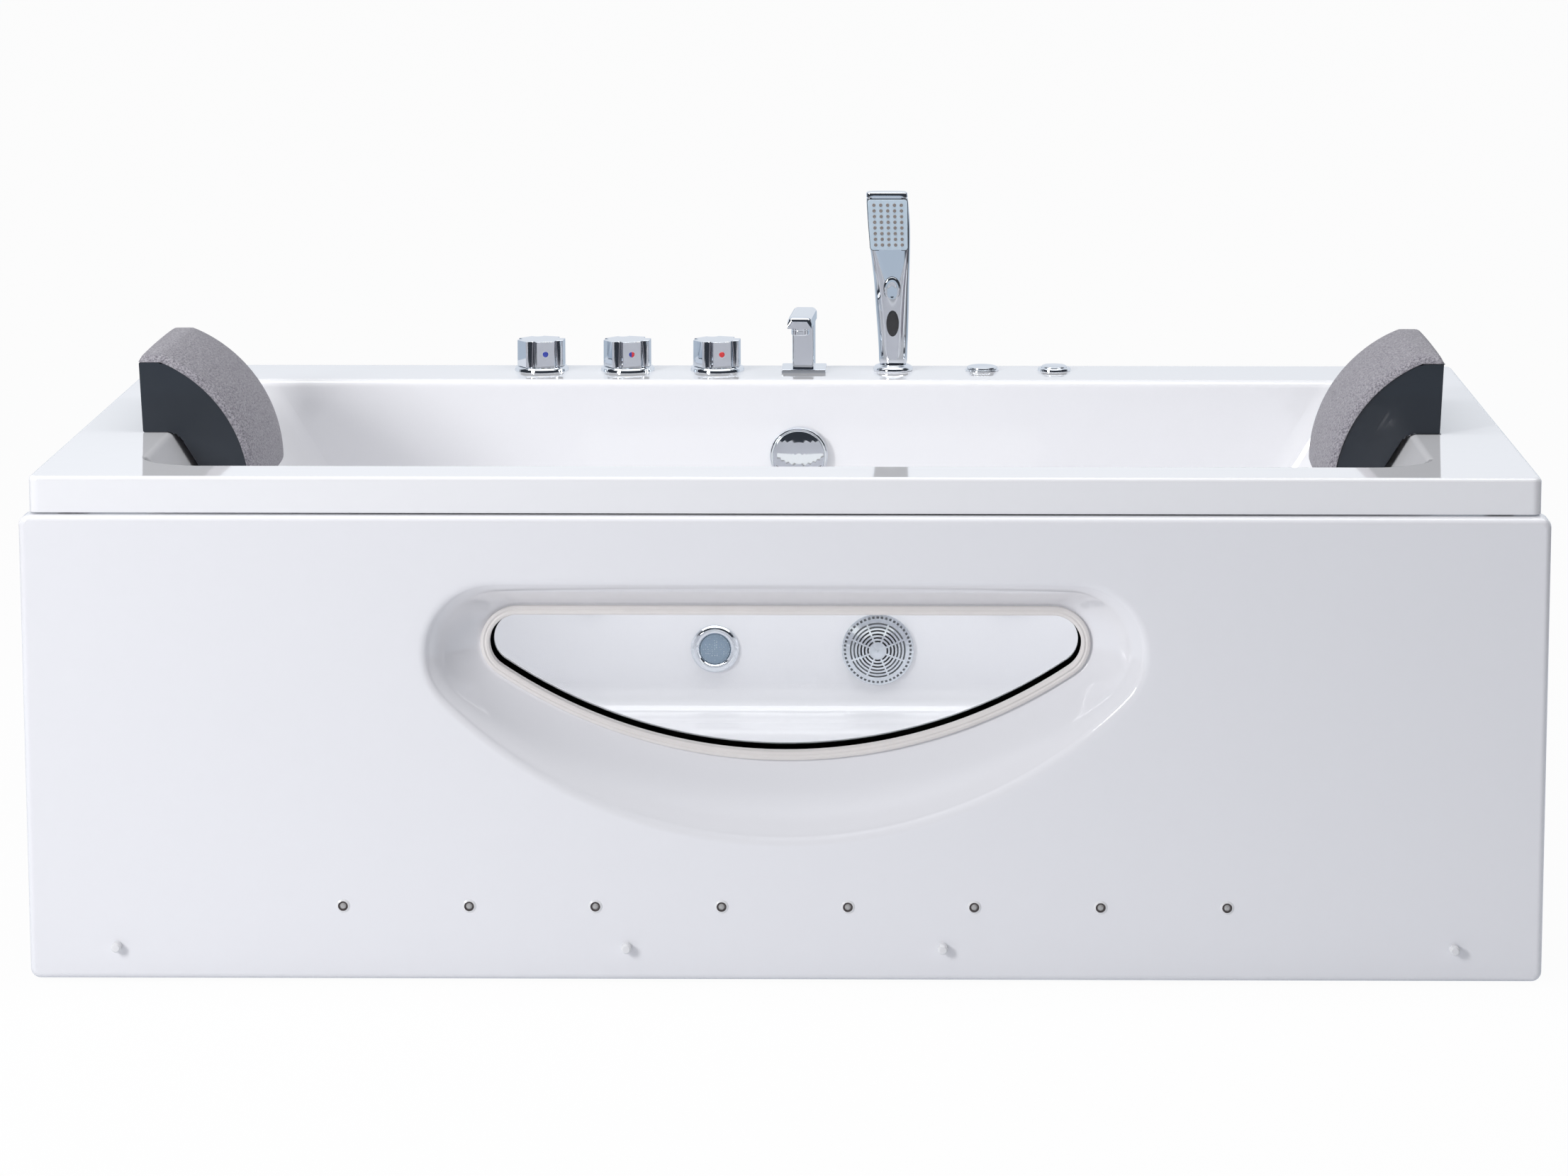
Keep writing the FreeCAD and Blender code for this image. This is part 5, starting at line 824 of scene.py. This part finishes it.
def pillow_path(share, grow=0.0):
    """A point on the pillow's profile, from its outer top edge to its toe, grown outwards."""
    flat, toe = PILLOW_SHOULDER, PILLOW_TOE
    if share < TOP_SHARE:
        x, z = between(PILLOW_TOP, flat, share / TOP_SHARE)
        out = (0.0, 1.0)
    else:
        middle = ((flat[0] + toe[0]) / 2, (flat[1] + toe[1]) / 2)
        chord = math.dist(flat, toe)
        way = ((flat[0] - toe[0]) / chord, (flat[1] - toe[1]) / chord)
        reach = math.sqrt(PILLOW_BEND ** 2 - chord ** 2 / 4)
        hub = (middle[0] + way[1] * reach, middle[1] - way[0] * reach)
        start = math.atan2(flat[1] - hub[1], flat[0] - hub[0])
        end = math.atan2(toe[1] - hub[1], toe[0] - hub[0])
        turn = start + (end - start) % (2 * math.pi) * (share - TOP_SHARE) / (1 - TOP_SHARE)
        x, z = hub[0] + PILLOW_BEND * math.cos(turn), hub[1] + PILLOW_BEND * math.sin(turn)
        out = (math.cos(turn), math.sin(turn))
    if 0.08 < share < 0.22:
        mixed = (share - 0.08) / 0.14
        steep = (math.cos(2.05), math.sin(2.05))
        out = between((0.0, 1.0), steep, mixed * mixed * (3 - 2 * mixed))
        span = math.hypot(*out)
        out = (out[0] / span, out[1] / span)
    return x + out[0] * grow, z + out[1] * grow


def under(share):
    """The pillow's underside: flat on the rim, over its round edge, and down clear of the wall."""
    stops = [(0, (806.5, 610.3)), (0.02, (804.5, 610.3)), (0.2, (776, 610.3)),
             (0.25, (768, 609.6)), (0.3, (762, 606)), (0.36, (757, 599)), (0.99, (715, 531)),
             (1, (714, 530))]
    for (a, first), (b, second) in zip(stops, stops[1:]):
        if share <= b:
            return between(first, second, (share - a) / (b - a))
    return stops[-1][1]


def quarter(reach):
    """A quarter round: 0 at 0, and 1 from 1 on."""
    near = 1 - min(max(reach, 0.0), 1.0)
    return math.sqrt(1 - near * near)


def pillow_part(side, low_point, high_point, along, over):
    """A solid between two surfaces, each given by share of the profile and place along it."""
    form = bmesh.new()
    first, second = form.verts.layers.float.new("along"), form.verts.layers.float.new("over")
    bmesh.ops.create_grid(form, x_segments=along, y_segments=over, size=1)
    for v in form.verts:
        v[first], v[second] = (v.co.x + 1) / 2, v.co.y
    risen = bmesh.ops.extrude_face_region(form, geom=form.faces[:])["geom"]
    lifted = {g for g in risen if isinstance(g, bmesh.types.BMVert)}
    for v in form.verts:
        x, y, z = (high_point if v in lifted else low_point)(v[first], v[second])
        v.co = (side * x, y, z)
    return form


def along_pillow(over):
    return PILLOW_Y + over * LONG / 2


def pad_high(share, over):
    inward = min(1 - abs(over), 1) * LONG / 2
    ends = min(share * 230, (1 - share) * 230)
    edge = quarter(inward / 9) * quarter(ends / 9)
    crown = (1 - over ** 2) * math.sin(math.pi * min(max(share, 0), 1)) ** 0.5
    x, z = pillow_path(share, 1.5 + 7.2 * edge + 8.0 * crown * quarter(inward / 40))
    return min(x, PILLOW_TOP[0]), along_pillow(over), z


def pad_low(share, over):
    x, z = pillow_path(share, 0.3)
    return x, along_pillow(over), z


def base_high(share, over):
    x, z = pillow_path(share)
    return x, along_pillow(over), z


def base_low(share, over):
    x, z = under(share)
    return x, along_pillow(over), z


navy = Finish("navy_moulding", (0.016, 0.022, 0.032), 0.32, Coat_Weight=0.25)
navy.set("Roughness", 0.26 + 0.12 * navy.noise(40, 3))
navy.bump(navy.noise(1600, 2), 0.00008, 0.4)
foam = Finish("speckled_foam", (0.28, 0.27, 0.30), 0.85, Sheen_Weight=0.15)
speck = foam.noise(430, 3)
fleck = foam.noise(800, 2).above(0.55, 0.66)
dull = foam.blend(speck.above(0.36, 0.64), (0.15, 0.142, 0.168), (0.40, 0.385, 0.42))
foam.set("Base Color", foam.blend(fleck * 0.55, dull, (0.56, 0.54, 0.58)))
foam.bump(speck, 0.0008, 0.6)
pads, shells = [], []
for side, word in ((-1, "left"), (1, "right")):
    shell = pillow_part(side, base_low, base_high, 64, 2)
    sharp = [e for e in shell.edges if len(e.link_faces) == 2 and e.calc_face_angle(0) > 1.0]
    bmesh.ops.bevel(shell, geom=sharp, offset=1.6, affect="EDGES", segments=3, profile=0.5,
                    material=-1)
    shells.append(make(f"pillow_shell_{word}", shell, navy, "bath", crease=40))
    pad = pillow_part(side, pad_low, pad_high, 72, 72)
    pads.append(make(f"pillow_pad_{word}", pad, foam, "bath", crease=60))
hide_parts("pillow_bases")
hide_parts("pillow_pads")
